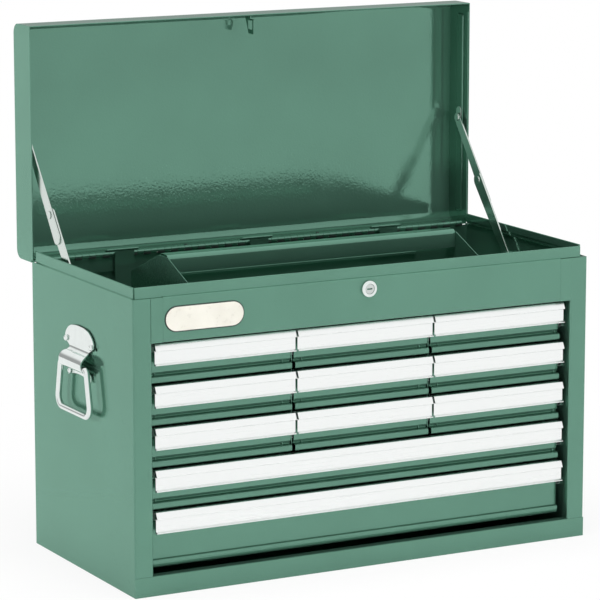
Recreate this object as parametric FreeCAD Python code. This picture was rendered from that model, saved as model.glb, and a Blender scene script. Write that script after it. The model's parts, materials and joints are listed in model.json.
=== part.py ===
import FreeCAD, Part
import math
import os

# A bench-top machinist tool chest of painted sheet steel, with its lid held open by two folding stays.
# Millimetres. X runs to the right, Y to the back and Z up, from the middle of the base on the bench.

# Sheet steel and running clearances
sheet = 1.0
slip = 0.3
overrun = 5.0

# Sides of small round pieces and holes
knuckle_sides = 6
rivet_sides = 8
screw_sides = 8
wire_sides = 8
lock_sides = 16
bend_steps = 4

# Cabinet body
cabinet_width = 660.0
cabinet_depth = 309.0
body_height = 378.0
rim_height = 14.5
rim_inset = 2.5
rim_step_rise = 1.2
rim_hem = 9.0
rim_edge_radius = 0.8
side_rim_back_gap = 19.5
front_rim_left_gap = 2.6
front_rim_right_gap = 9.7
side_rim_right_gap = 14.0

# Front frame of the cabinet
stile_width = 25.5
stile_return = 12.0
header_tab = 15.5
header_height = 56.5
header_return = 14.0
rail_height = 25.5
rail_return = 12.0
bend_radius = 1.6

# Back, base and till floor
back_panel_half_width = 211.0
back_lap = 15.0
pan_lip = 16.0
till_lip = 8.0
panel_flange = 14.0

# Drawer bank
row_pitch = 53.47
header_gap = 2.0
front_setback = 17.7
pull_end_gap = 6.5
pull_gap = 3.0
front_end_gap = 0.8
column_pitch = 200.0
row_gap = 2.3
column_rows = 3
bottom_front_height = 70.5
box_top_drop = 7.0
box_floor_drop = 46.0
bottom_box_floor_drop = 65.0
box_back_gap = 26.5
box_flange = 13.0

# Drawer front section, measured down from the top of the front
front_top_drop = 1.6
groove_top_drop = 38.5
groove_bottom_drop = 43.0
groove_depth = 3.6
roll_reach = 4.4
roll_radius = 3.2
roll_height = 7.6

# Drawer pull section
pull_wall = 1.3
pull_reach = 11.5
pull_lip = 3.6
pull_band = 9.4
pull_ridge = 1.2
pull_height = 28.3
pull_hook = 12.0

# Drawer slides
slide_space = 13.0
channel_height = 14.0
channel_depth = 8.0
channel_front_gap = 3.0
runner_plate_height = 18.0
runner_neck = 1.6
runner_head = 1.6
runner_head_gap = 2.0
runner_drop = 29.0
channel_back_gap = 14.5

# Piano hinge
hinge_radius = 3.0
hinge_pin_radius = 1.4
hinge_bore_gap = 0.1
hinge_leaf = 1.2
hinge_leaf_height = 20.0
hinge_knuckle = 10.0
hinge_end_gap = 10.0
hinge_axis_rise = 1.5
hinge_wall_gap = 3.5
press_tab_width = 48.0
press_tab_gap = 0.5
press_tab_drop = 5.7

# Lid
lid_height = 51.6
lid_seat_gap = 0.6
lid_bend_radius = 13.0
lid_notch_depth = 8.5
lid_notch_height = 5.4
lid_rib_width = 21.0
lid_rib_depth = 2.0
lid_rib_edge = 15.0
lid_rib_end_gap = 16.0
lid_open_angle = 90.0

# Catch on the lid and its lock in the header
catch_sheet = 2.0
catch_reach = 27.0
catch_top = 36.5
catch_root = 19.5
catch_tip_top = 24.0
catch_bottom = 10.0
catch_step = 7.0
catch_flange = 18.0
catch_window_start = 9.0
catch_window_length = 12.0
catch_window_bottom = 13.5
catch_window_height = 12.0
lock_drop = 28.5
lock_face_radius = 11.0
lock_face_height = 3.2
lock_barrel_radius = 9.5
lock_barrel_length = 14.0
lock_nut_radius = 12.0
lock_nut_height = 4.0
plug_radius = 6.5
plug_gap = 0.1
plug_face_height = 0.6
key_slot_length = 7.5
key_slot_width = 1.8
key_slot_depth = 6.0
cam_thickness = 2.0
cam_hub_radius = 8.0
cam_width = 8.0
cam_offset = 9.0
cam_finger_height = 5.0
cam_finger_reach = 7.0
cam_parked_turn = -90.0

# Bars that the lid presses down to lock the drawers
bar_width = 28.0
bar_thickness = 1.5
bar_gap = 0.8
bar_rise = 3.5
bar_travel = 6.0
bar_foot_drop = 24.0
bar_slot_gap = 1.0
hook_width = 12.0
hook_reach = 8.2
hook_finger = 6.0
hook_clearance = 0.8
hook_slot_gap = 2.0
strap_height = 12.0
strap_gap = 0.4
strap_flange = 8.0
strap_drop = 44.0
strap_low_height = 70.0

# Folding stays of the lid
arm_thickness = 2.0
arm_wall_gap = 10.5
arm_end_steps = 8
arm_width = 15.0
upper_arm_width = 13.0
knuckle_width = 20.0
upper_arm_tail = 34.0
stay_rivet_radius = 3.0
stay_head_radius = 5.5
stay_head_height = 1.0
stay_hole_gap = 0.1
stay_bracket = 1.5
stay_bracket_length = 30.0
stay_bracket_height = 16.0
stay_foot_setback = 119.5
stay_foot_drop = 26.0
stay_knuckle_setback = 42.9
stay_knuckle_rise = 67.4
stay_lid_height = 147.0
stay_lid_depth = 18.0

# Carrying handles
handle_drop = 108.0
handle_standoff = 11.0
handle_sheet = 1.5
barrel_radius = 6.2
barrel_half_length = 33.0
bail_radius = 4.0
bail_gap = 0.25
bail_half_width = 51.0
bail_top_half_width = 39.0
bail_drop = 60.5
bail_corner = 13.0
bail_shoulder = 5.0
plate_top = 47.0
plate_bottom = 17.0
plate_half_width = 46.0
plate_ear_half_width = 54.0
plate_ear_rise = 27.0
plate_ear_radius = 9.0
plate_lobe_radius = 16.0
plate_foot_half_width = 36.0
plate_flat_rise = 19.0
plate_flat_drop = 6.8
plate_waist_radius = 6.0
screw_radius = 2.4
screw_head_radius = 4.4
screw_head_height = 2.6
screw_crown_share = 0.55
screw_length = 7.0
screw_gap = 0.1
foot_screw_half_width = 28.0
foot_screw_drop = 12.4

# Removable tote tray
tray_half_length = 214.0
tray_half_depth = 97.0
tray_lift = 0.3
tray_wall_height = 33.0
tray_hem = 3.6
tray_hem_height = 3.6
tray_shoulder = 41.5
tray_peak = 75.7
tray_peak_half_width = 12.5
tray_peak_radius = 7.0
tray_corner_radius = 3.0
rail_drop = 21.0
rail_half_width = 11.5
rail_bend = 5.0

# Places that follow from the sizes above
half_width = cabinet_width / 2
front = -cabinet_depth / 2
back = cabinet_depth / 2
rim_top = body_height + rim_height
opening_half = half_width - stile_width
header_bottom = body_height - header_height
till_floor_bottom = header_bottom + sheet
till_floor_top = till_floor_bottom + sheet
back_half = back_panel_half_width
back_return = half_width - back_half + back_lap
back_inner = back - 2 * sheet
support_face = opening_half + sheet
front_plane = front + front_setback
row_top = header_bottom - header_gap
hinge_y = back - hinge_radius
hinge_z = body_height + hinge_axis_rise
back_top = hinge_z - hinge_wall_gap
lid_bottom = body_height + lid_seat_gap
lid_top = lid_bottom + lid_height
lid_inner_half = half_width - sheet
wall_inner_half = half_width - sheet
bend_clear = sheet + bend_radius
tab_edge = opening_half - header_tab
rim_depth = rim_inset + 2 * sheet
bar_back = hinge_y - hinge_radius - bar_gap
bar_front = bar_back - bar_thickness
bar_top = hinge_z + bar_rise
lock_z = rim_top - lock_drop
handle_z = body_height - handle_drop
barrel_x = half_width + handle_standoff
hinge_pairs = int((half_width - hinge_end_gap + slip) / hinge_knuckle)
hinge_half = hinge_pairs * hinge_knuckle
box_back = back - box_back_gap
channel_back = back - channel_back_gap
arm_inboard = half_width - arm_wall_gap
stay_foot_back = hinge_y - stay_foot_setback
stay_knuckle_back = hinge_y - stay_knuckle_setback

row_names = ["top", "second", "third", "fourth", "bottom"]
column_names = ["left", "centre", "right"]


def vec(x, y, z):
    return FreeCAD.Vector(x, y, z)


def block(x0, x1, y0, y1, z0, z1):
    """A box between two values on each axis."""
    return Part.makeBox(x1 - x0, y1 - y0, z1 - z0, vec(x0, y0, z0))


def few_sided(axis, centre, start, length, radius, sides, bore=False):
    """A round bar or bore of few sides along an axis, with its corners or its flats on the radius."""
    reach = radius / math.cos(math.pi / sides) if bore else radius
    points = []
    for i in range(sides):
        angle = math.pi * (2 * i + 1) / sides
        points.append((centre[0] + reach * math.cos(angle), centre[1] + reach * math.sin(angle)))
    return prism(axis, points, start, start + length)


def few_sided_taper(axis, centre, start, length, radius, end_radius, sides):
    """A tapered bar of few sides along an axis."""
    wires = []
    for along, reach in ((start, radius), (start + length, end_radius)):
        points = []
        for i in range(sides):
            angle = math.pi * (2 * i + 1) / sides
            points.append((centre[0] + reach * math.cos(angle), centre[1] + reach * math.sin(angle)))
        wires.append(outline(axis, points, along))
    return Part.makeLoft(wires, True, True)


def fused(shapes):
    """One solid from pieces that touch or overlap."""
    return shapes[0].multiFuse(shapes[1:]).removeSplitter()


def mirrored(shape):
    """The same piece on the other side of the middle plane."""
    return shape.mirror(vec(0, 0, 0), vec(1, 0, 0))


def on_plane(axis, a, b, along):
    """A point of a flat section: YZ for axis x, XZ for axis y and XY for axis z."""
    if axis == "x":
        return vec(along, a, b)
    if axis == "y":
        return vec(a, along, b)
    return vec(a, b, along)


def rounded_corner(before, corner, after, radius):
    """Points that round one corner of an outline in a few steps."""
    ax, ay = before[0] - corner[0], before[1] - corner[1]
    bx, by = after[0] - corner[0], after[1] - corner[1]
    la, lb = math.hypot(ax, ay), math.hypot(bx, by)
    ax, ay, bx, by = ax / la, ay / la, bx / lb, by / lb
    half = math.acos(max(-1, min(1, ax * bx + ay * by))) / 2
    run = radius / math.tan(half)
    mx, my = ax + bx, ay + by
    reach = radius / math.sin(half) / math.hypot(mx, my)
    centre = (corner[0] + mx * reach, corner[1] + my * reach)
    start = (corner[0] + ax * run - centre[0], corner[1] + ay * run - centre[1])
    sweep = math.copysign(math.pi - 2 * half, ax * by - ay * bx)
    points = []
    for i in range(bend_steps + 1):
        angle = -sweep * i / bend_steps
        c, s = math.cos(angle), math.sin(angle)
        points.append((centre[0] + start[0] * c - start[1] * s, centre[1] + start[0] * s + start[1] * c))
    return points


def outline(axis, points, along, closed=True):
    """Wire through points (a, b) or (a, b, corner radius)."""
    count = len(points)
    flat = []
    for i, point in enumerate(points):
        radius = point[2] if len(point) > 2 else 0
        if radius and (closed or 0 < i < count - 1):
            flat.extend(rounded_corner(points[i - 1], point, points[(i + 1) % count], radius))
        else:
            flat.append((point[0], point[1]))
    if closed:
        flat.append(flat[0])
    return Part.makePolygon([on_plane(axis, a, b, along) for a, b in flat])


def prism(axis, points, start, end):
    """A flat outline pushed along an axis."""
    wire = outline(axis, points, start)
    direction = on_plane(axis, 0, 0, end - start)
    return Part.Face(wire).extrude(direction)


def folded(points, thickness, radius):
    """Outline of a folded sheet: the path is its face, the metal lies to the path's right."""
    count = len(points)
    normals = []
    for i in range(count - 1):
        dx, dy = points[i + 1][0] - points[i][0], points[i + 1][1] - points[i][1]
        length = math.hypot(dx, dy)
        normals.append((dy / length, -dx / length))
    near = []
    far = []
    for i in range(count):
        n0 = normals[max(i - 1, 0)]
        n1 = normals[min(i, count - 2)]
        turn = n0[0] * n1[1] - n0[1] * n1[0]
        scale = thickness / (1 + n0[0] * n1[0] + n0[1] * n1[1])
        offset = (points[i][0] + (n0[0] + n1[0]) * scale, points[i][1] + (n0[1] + n1[1]) * scale)
        if i in (0, count - 1):
            near.append((points[i][0], points[i][1]))
            far.append(offset)
        elif turn < 0:
            near.append((points[i][0], points[i][1], radius + thickness))
            far.append((offset[0], offset[1], radius))
        else:
            near.append((points[i][0], points[i][1], radius))
            far.append((offset[0], offset[1], radius + thickness))
    return near + far[::-1]


def rim_section(face, inward):
    """Section of the inset rim above the step, where inward is +1 or -1 across the sheet."""
    lower = body_height - 2 * sheet
    wall = face + inward * rim_inset
    return [
        (face, lower),
        (face, body_height),
        (wall, body_height + rim_step_rise),
        (wall, rim_top, rim_edge_radius),
        (wall + inward * 2 * sheet, rim_top, rim_edge_radius),
        (wall + inward * 2 * sheet, rim_top - rim_hem),
        (wall + inward * sheet, rim_top - rim_hem),
        (wall + inward * sheet, body_height + rim_step_rise - sheet / 2),
        (face + inward * sheet, body_height - sheet),
        (face + inward * sheet, lower),
    ]


def handle_screw_places():
    """Y and Z of the screws of one handle."""
    upper = handle_z + plate_ear_rise
    lower = handle_z - foot_screw_drop
    places = []
    for sign in (-1, 1):
        places.append((sign * plate_half_width, upper))
        places.append((sign * foot_screw_half_width, lower))
    return places


def side_panel(left):
    """Side wall with its front stile, return, header tab, back return and inset rim."""
    path = [
        (-opening_half, front + stile_return),
        (-opening_half, front),
        (-half_width, front),
        (-half_width, back),
        (-half_width + back_return, back),
    ]
    wall = prism("z", folded(path, sheet, bend_radius), 0, body_height)
    foot_cut = block(-half_width - overrun, -opening_half + overrun, front - overrun,
                     front + sheet, -overrun, rail_height)
    return_cut = block(-opening_half - sheet - bend_clear, -opening_half + overrun, front - overrun,
                       front + stile_return + overrun, -overrun, rail_height)
    back_cut = block(-half_width + 2 * sheet, half_width, back - 2 * sheet, back + overrun,
                     back_top, body_height + overrun)
    wall = wall.cut(foot_cut).cut(return_cut).cut(back_cut)
    tab = block(-opening_half - sheet, -tab_edge, front, front + sheet, header_bottom, body_height)
    ledge = block(-half_width + 2 * sheet, -tab_edge, front, front + rim_depth,
                  body_height - sheet, body_height)
    rim_gap = rim_depth + slip if left else side_rim_right_gap
    rim = prism("y", rim_section(-half_width, 1), front + rim_gap, back - side_rim_back_gap)
    foot = (stay_foot_back, body_height - stay_foot_drop)
    stud_length = lid_inner_half - arm_inboard - arm_thickness - slip
    stud = few_sided("x", foot, -lid_inner_half, stud_length, stay_head_radius, rivet_sides)
    pin_length = lid_inner_half - arm_inboard + slip + stay_head_height
    pin = few_sided("x", foot, -lid_inner_half, pin_length, stay_rivet_radius, rivet_sides)
    head = few_sided("x", foot, -arm_inboard + slip, stay_head_height, stay_head_radius, rivet_sides)
    panel = fused([wall, tab, ledge, rim, stud, pin, head])
    for place in handle_screw_places():
        panel = panel.cut(few_sided("x", place, -half_width - overrun, 2 * overrun,
                                    screw_radius + screw_gap, screw_sides, True))
    return panel if left else mirrored(panel)


def bar_centres():
    """X of the three locking bars, one behind each column of drawers."""
    return [-column_pitch, 0, column_pitch]


def back_panel():
    """Centre panel of the back, with lanced straps that guide the locking bars."""
    pieces = [block(-back_half, back_half, back_inner, back_inner + sheet, sheet, back_top)]
    half = bar_width / 2 + strap_gap
    face = bar_front - strap_gap
    for x in bar_centres():
        for z in (strap_low_height, till_floor_bottom - strap_drop):
            path = [
                (x + half + strap_flange, back_inner - sheet),
                (x + half, back_inner - sheet),
                (x + half, face),
                (x - half, face),
                (x - half, back_inner - sheet),
                (x - half - strap_flange, back_inner - sheet),
            ]
            pieces.append(strap(path, z))
    return fused(pieces)


def strap(path, z):
    """One guide strap, folded from sheet round a bar."""
    web_left, web_right = path[3][0], path[2][0]
    face = path[2][1]
    base = path[0][1]
    top = z + strap_height
    front_web = block(web_left - sheet, web_right + sheet, face - sheet, face, z, top)
    legs = []
    for x0, x1 in ((web_left - sheet, web_left), (web_right, web_right + sheet)):
        legs.append(block(x0, x1, face - sheet, base + sheet, z, top))
    feet = []
    for x0, x1 in ((path[5][0], web_left), (web_right, path[0][0])):
        feet.append(block(x0, x1, base, base + sheet, z, top))
    return fused([front_web] + legs + feet)


def floor_sheet(y0, z0, z1):
    """A level sheet between the side walls, with its corners clear of their bends."""
    narrow = wall_inner_half - bend_clear
    middle = block(-narrow, narrow, y0, back_inner, z0, z1)
    wide = block(-wall_inner_half, wall_inner_half, y0 + bend_radius, back - bend_clear, z0, z1)
    return fused([middle, wide])


def floor_lips(y0, z0, z1):
    """Turned edges of a floor along both side walls."""
    lips = []
    for sign in (-1, 1):
        x0, x1 = sorted((sign * (wall_inner_half - sheet), sign * wall_inner_half))
        lips.append(block(x0, x1, y0, back - bend_clear, z0, z1))
    return lips


def bottom_pan():
    """Base sheet with the front rail that closes the frame below the drawers."""
    floor = floor_sheet(front + sheet, 0, sheet)
    path = [
        (front + sheet + rail_return, 0),
        (front, 0),
        (front, rail_height),
        (front + sheet + rail_return, rail_height),
    ]
    rail = prism("x", folded(path, sheet, bend_radius), -opening_half + sheet / 2,
                 opening_half - sheet / 2)
    face = block(-half_width, half_width, front, front + sheet, 0, rail_height - sheet / 4)
    rear_lip = block(-back_half, back_half, back_inner - sheet, back_inner, 0, pan_lip)
    lips = floor_lips(front + bend_clear, 0, pan_lip)
    return fused([floor, rail, face, rear_lip] + lips)


def front_header():
    """Fixed panel above the drawers, with the inset rim and the lock hole."""
    half = tab_edge - sheet / 8
    path = [
        (front + header_return, header_bottom),
        (front, header_bottom),
        (front, body_height - sheet),
    ]
    face = prism("x", folded(path, sheet, bend_radius), -half, half)
    ears = block(-opening_half + 2 * sheet, opening_half - 2 * sheet, front + sheet, front + 2 * sheet,
                 till_floor_bottom, body_height - sheet)
    rim = prism("x", rim_section(front, 1), -half, half)
    wall = front + rim_inset
    end_section = [
        (wall, body_height),
        (wall, rim_top, rim_edge_radius),
        (wall + 2 * sheet, rim_top, rim_edge_radius),
        (wall + 2 * sheet, rim_top - rim_hem),
        (wall + sheet, rim_top - rim_hem),
        (wall + sheet, body_height),
    ]
    ends = prism("x", end_section, -half_width + front_rim_left_gap, half_width - front_rim_right_gap)
    header = fused([face, ears, rim, ends])
    hole = few_sided("y", (0, lock_z), front - overrun, 4 * overrun, lock_barrel_radius + plug_gap,
                     lock_sides, True)
    return header.cut(hole)


def till_floor():
    """Floor of the top compartment, slotted for the locking bars."""
    floor = floor_sheet(front + sheet + bend_clear, till_floor_bottom, till_floor_top)
    floor = fused([floor] + floor_lips(front + stile_return, till_floor_bottom - till_lip, till_floor_top))
    for sign in (-1, 1):
        x0, x1 = sorted((sign * (opening_half - slip), sign * half_width))
        floor = floor.cut(block(x0, x1, front, front + stile_return + slip,
                                till_floor_bottom - till_lip - overrun, till_floor_top + overrun))
    for x in bar_centres():
        half = bar_width / 2 + bar_slot_gap
        floor = floor.cut(block(x - half, x + half, bar_front - bar_slot_gap, bar_back + bar_slot_gap,
                                till_floor_bottom - overrun, till_floor_top + overrun))
    return floor


def slide_partitions():
    """Two slotted side supports and two dividers that carry the drawer slides."""
    supports = []
    y0 = front + sheet + bend_clear
    for sign in (-1, 1):
        x0, x1 = sorted((sign * support_face, sign * (support_face + sheet)))
        web = block(x0, x1, y0, back - sheet, sheet, till_floor_bottom)
        f0, f1 = sorted((sign * support_face, sign * (support_face + panel_flange)))
        foot = block(f0, f1, y0 + stile_return, back - 2 * sheet, sheet, 2 * sheet)
        head = block(f0, f1, y0 + stile_return, back - 2 * sheet, till_floor_bottom - sheet, till_floor_bottom)
        supports.append(fused([web, foot, head]))
    dividers = []
    bottom = row_top - column_rows * row_pitch + row_gap
    for sign in (-1, 1):
        x = sign * column_pitch / 2
        web = block(x - sheet / 2, x + sheet / 2, front_plane + 2 * sheet, back_inner, bottom, till_floor_bottom)
        f0, f1 = sorted((x, x + sign * panel_flange))
        top = block(f0, f1, front_plane + 2 * sheet, back_inner, till_floor_bottom - sheet, till_floor_bottom)
        rear = block(f0, f1, back_inner - sheet, back_inner, bottom, till_floor_bottom)
        dividers.append(fused([web, top, rear]))
    return Part.makeCompound(supports + dividers)


def drawer_bays():
    """Name, side faces of the bay, top of the drawer and front height for all drawers."""
    outer = support_face
    inner = (column_pitch - sheet) / 2
    bays = []
    for row, row_name in enumerate(row_names):
        top = row_top - row * row_pitch
        if row < column_rows:
            faces = [(-outer, -inner - sheet), (-inner, inner), (inner + sheet, outer)]
            for column, (left, right) in zip(column_names, faces):
                bays.append((row_name + "_" + column, left, right, top, row))
        else:
            bays.append((row_name, -outer, outer, top, row))
    return bays


def bay_front(left, right):
    """Ends of the pull in one bay."""
    outer = opening_half - pull_end_gap
    inner = (column_pitch - pull_gap) / 2
    ends = []
    for face, sign in ((left, 1), (right, -1)):
        if abs(face) > column_pitch:
            ends.append(face / abs(face) * outer)
        elif face * sign < 0:
            ends.append(-sign * inner)
        else:
            ends.append(sign * (inner + pull_gap))
    return ends


def drawer_box(left, right, top, row):
    """Folded sheet drawer: tray, shaped front and the slotted flange for the locking hooks."""
    x0, x1 = left + slide_space, right - slide_space
    last = row == len(row_names) - 1
    floor = top - (bottom_box_floor_drop if last else box_floor_drop)
    upper = top - box_top_drop
    y0, y1 = front_plane, box_back
    tray = block(x0, x1, y0 + sheet, y1, floor, upper)
    tray = tray.cut(block(x0 + sheet, x1 - sheet, y0, y1 - sheet, floor + sheet, upper + overrun))
    shift = (bottom_front_height - row_pitch + row_gap) if last else 0
    groove_top = top - groove_top_drop - shift
    groove_low = top - groove_bottom_drop - shift
    depth = 0 if last else groove_depth
    roll_face = front_plane - roll_reach
    roll_low = groove_low - roll_height
    section = [
        (front_plane, top - front_top_drop),
        (front_plane, groove_top),
        (front_plane + depth, groove_low),
        (roll_face + roll_radius, groove_low - sheet / 2),
        (roll_face, groove_low - roll_radius),
        (roll_face, roll_low),
        (roll_face + sheet, roll_low),
        (roll_face + sheet, groove_low - roll_radius - sheet / 2),
        (roll_face + roll_radius + sheet / 2, groove_low - sheet - sheet / 2),
        (front_plane + depth + sheet, groove_low - sheet),
        (front_plane + sheet, groove_top - sheet / 2),
        (front_plane + sheet, top - front_top_drop),
    ]
    pull_left, pull_right = bay_front(left, right)
    face = prism("x", section, pull_left + front_end_gap, pull_right - front_end_gap)
    apron = block(x0, x1, front_plane + depth, front_plane + depth + 2 * sheet, floor, groove_low)
    flange = block(x0, x1, y1 - sheet, y1 + box_flange, upper - sheet, upper)
    box = fused([tray, face, apron, flange])
    for x in bar_centres():
        if x0 < x < x1:
            half = hook_width / 2 + hook_slot_gap
            centre = bar_front - hook_reach
            box = box.cut(block(x - half, x + half, centre - hook_slot_gap,
                                centre + bar_thickness + hook_slot_gap, upper - overrun, upper + overrun))
    return box


def drawer_pull(left, right, top):
    """Extruded aluminium pull that hooks over the top of the drawer front."""
    face = front_plane - pull_reach
    lip = face - pull_lip
    wall = pull_wall
    ridge = top - pull_band
    foot = top - pull_height
    section = [
        (front_plane, top - pull_hook),
        (front_plane, top - front_top_drop),
        (front_plane + sheet, top - front_top_drop),
        (front_plane + sheet, top),
        (face, top),
        (lip, ridge + pull_ridge),
        (lip, ridge),
        (face, ridge - pull_ridge),
        (face, foot + 2 * pull_ridge),
        (lip, foot + pull_ridge),
        (lip, foot),
        (face + wall, foot),
        (face + wall, top - wall),
        (front_plane - wall, top - wall),
        (front_plane - wall, top - pull_hook),
    ]
    x0, x1 = bay_front(left, right)
    return prism("x", section, x0, x1)


def runner_section(box_face, bay_face, z):
    """Section of one drawer runner: a plate on the drawer and a head inside the channel."""
    sign = 1 if bay_face > box_face else -1
    plate = box_face + sign * sheet
    head_end = bay_face - sign * (sheet + runner_head_gap)
    head_start = head_end - sign * runner_head
    head = channel_height / 2 - sheet - slip
    neck = runner_neck / 2
    flange = runner_plate_height / 2
    return [
        (box_face, z - flange),
        (plate, z - flange),
        (plate, z - neck),
        (head_start, z - neck),
        (head_start, z - head),
        (head_end, z - head),
        (head_end, z + head),
        (head_start, z + head),
        (head_start, z + neck),
        (plate, z + neck),
        (plate, z + flange),
        (box_face, z + flange),
    ]


def drawer_runners(left, right, top):
    """The two moving members of one drawer's slides."""
    z = top - runner_drop
    y0 = front_plane + channel_front_gap * 2
    runners = []
    for box_face, bay_face in ((left + slide_space, left), (right - slide_space, right)):
        runners.append(prism("y", runner_section(box_face, bay_face, z), y0, box_back))
    return Part.makeCompound(runners)


def slide_channels():
    """Fixed channels of all the drawer slides, on the supports and dividers."""
    channels = []
    for name, left, right, top, row in drawer_bays():
        z = top - runner_drop
        half = channel_height / 2
        for face, sign in ((left, 1), (right, -1)):
            tip = face + sign * channel_depth
            web = face + sign * sheet
            section = [
                (face, z - half),
                (tip, z - half),
                (tip, z - half + sheet),
                (web, z - half + sheet),
                (web, z + half - sheet),
                (tip, z + half - sheet),
                (tip, z + half),
                (face, z + half),
            ]
            channels.append(prism("y", section, front_plane + channel_front_gap, channel_back))
    return Part.makeCompound(channels)


def knuckle_row(start, leaf):
    """A hinge leaf with every second knuckle, all bored for the pin."""
    pieces = [leaf]
    for i in range(hinge_pairs):
        x = -hinge_half + (2 * i + start) * hinge_knuckle + slip / 2
        pieces.append(few_sided("x", (hinge_y, hinge_z), x, hinge_knuckle - slip, hinge_radius, knuckle_sides))
    return fused(pieces)


def hinge_leaf_cabinet():
    """Lower leaf of the piano hinge, flat on the inside of the back panel."""
    leaf_back = back_inner
    leaf_front = leaf_back - hinge_leaf
    low = back_top - hinge_leaf_height + hinge_wall_gap
    leaf = block(-hinge_half, hinge_half, leaf_front, leaf_back, low, hinge_z - hinge_radius - slip)
    necks = []
    for i in range(hinge_pairs):
        x = -hinge_half + 2 * i * hinge_knuckle + slip / 2
        necks.append(block(x, x + hinge_knuckle - slip, leaf_front, leaf_back, low, hinge_z))
    leaf = knuckle_row(0, fused([leaf] + necks))
    return leaf.cut(pin_hole())


def pin_hole():
    """Clear bore for the hinge pin through every knuckle."""
    bore = hinge_pin_radius + hinge_bore_gap
    return few_sided("x", (hinge_y, hinge_z), -hinge_half - overrun, 2 * (hinge_half + overrun), bore,
                     knuckle_sides, True)


def hinge_leaf_lid_closed():
    """Upper leaf on the lid's rear wall, with the tabs that press the locking bars down."""
    leaf_back = back - sheet
    leaf_front = leaf_back - hinge_leaf
    high = hinge_z + hinge_leaf_height
    low = hinge_z + hinge_radius + slip
    leaf = block(-hinge_half, hinge_half, leaf_front, leaf_back, low, high)
    necks = []
    for i in range(hinge_pairs):
        x = -hinge_half + (2 * i + 1) * hinge_knuckle + slip / 2
        necks.append(block(x, x + hinge_knuckle - slip, leaf_front, leaf_back, hinge_z, high))
    leaf = knuckle_row(1, fused([leaf] + necks))
    leaf = leaf.cut(pin_hole())
    tab_low = hinge_z + hinge_radius + press_tab_gap
    tab_high = tab_low + hinge_leaf
    tab_inner = hinge_y - hinge_radius - press_tab_gap - sheet / 10
    tabs = []
    for x in bar_centres():
        x0, x1 = x - press_tab_width / 2, x + press_tab_width / 2
        tabs.append(block(x0, x1, tab_inner - hinge_leaf, leaf_back, tab_low, tab_high))
        tabs.append(block(x0, x1, tab_inner - hinge_leaf, tab_inner, tab_low - press_tab_drop, tab_high))
    return fused([leaf] + tabs)


def hinge_pin():
    """The long pin of the piano hinge."""
    return few_sided("x", (hinge_y, hinge_z), -hinge_half, 2 * hinge_half, hinge_pin_radius, knuckle_sides)


def opened(shape):
    """A piece of the lid turned from closed to open about the hinge pin."""
    turned = shape.copy()
    turned.rotate(vec(0, hinge_y, hinge_z), vec(1, 0, 0), -lid_open_angle)
    return turned


def lid_shell_closed():
    """Lid: one sheet over front, top and back, with side caps and their stiffening ribs."""
    outer = [
        (front, lid_bottom),
        (front, lid_top, lid_bend_radius),
        (back, lid_top, lid_bend_radius),
        (back, lid_bottom),
    ]
    inner_top = lid_top - sheet
    inner = [
        (front + sheet, lid_bottom - overrun),
        (front + sheet, inner_top, lid_bend_radius - sheet),
        (back - sheet, inner_top, lid_bend_radius - sheet),
        (back - sheet, lid_bottom - overrun),
    ]
    shell = prism("x", outer, -half_width, half_width)
    shell = shell.cut(prism("x", inner, -lid_inner_half, lid_inner_half))
    hinge_cut_low = hinge_z + hinge_wall_gap
    shell = shell.cut(block(-half_width - overrun, half_width + overrun, back - 2 * sheet, back + overrun,
                            lid_bottom - overrun, hinge_cut_low))
    shell = shell.cut(block(-half_width - overrun, half_width + overrun, back - lid_notch_depth,
                            back + overrun, lid_bottom - overrun, lid_bottom + lid_notch_height))
    rib_top = inner_top - lid_rib_edge
    ribs = []
    for sign in (-1, 1):
        x0, x1 = sorted((sign * (lid_inner_half - lid_rib_depth), sign * lid_inner_half))
        ribs.append(block(x0, x1, front + lid_rib_end_gap, back - lid_rib_end_gap,
                          rib_top - lid_rib_width, rib_top))
    return fused([shell] + ribs)


def lid_catch_closed():
    """Catch plate under the lid's front wall, with the window that the lock's cam enters."""
    base = body_height
    root = front + sheet
    y_end = root + catch_reach
    blade = [
        (root, base + catch_top),
        (root, base + catch_root),
        (root + catch_step, base + catch_root),
        (root + catch_step, base + catch_bottom),
        (y_end, base + catch_bottom),
        (y_end, base + catch_tip_top),
    ]
    plate = prism("x", blade, -catch_sheet / 2, catch_sheet / 2)
    window_y = root + catch_window_start
    window_z = base + catch_window_bottom
    window = block(-overrun, overrun, window_y, window_y + catch_window_length,
                   window_z, window_z + catch_window_height)
    foot = block(-catch_sheet / 2, catch_flange, root, root + catch_sheet, base + catch_root, base + catch_top)
    return fused([plate.cut(window), foot])


def lock_body():
    """Chromed barrel of the lock with its bezel and nut."""
    centre = (0, lock_z)
    bevel = lock_face_height / 4
    rim = few_sided_taper("y", centre, front - lock_face_height, bevel, lock_face_radius - bevel,
                          lock_face_radius, lock_sides)
    bezel = few_sided("y", centre, front - lock_face_height + bevel, lock_face_height - bevel,
                      lock_face_radius, lock_sides)
    barrel = few_sided("y", centre, front, lock_barrel_length, lock_barrel_radius, lock_sides)
    nut = few_sided("y", centre, front + 2 * sheet, lock_nut_height, lock_nut_radius, knuckle_sides)
    bore = few_sided("y", centre, front - overrun, 2 * overrun + lock_barrel_length,
                     plug_radius + plug_gap, lock_sides, True)
    return fused([rim, bezel, barrel, nut]).cut(bore)


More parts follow.
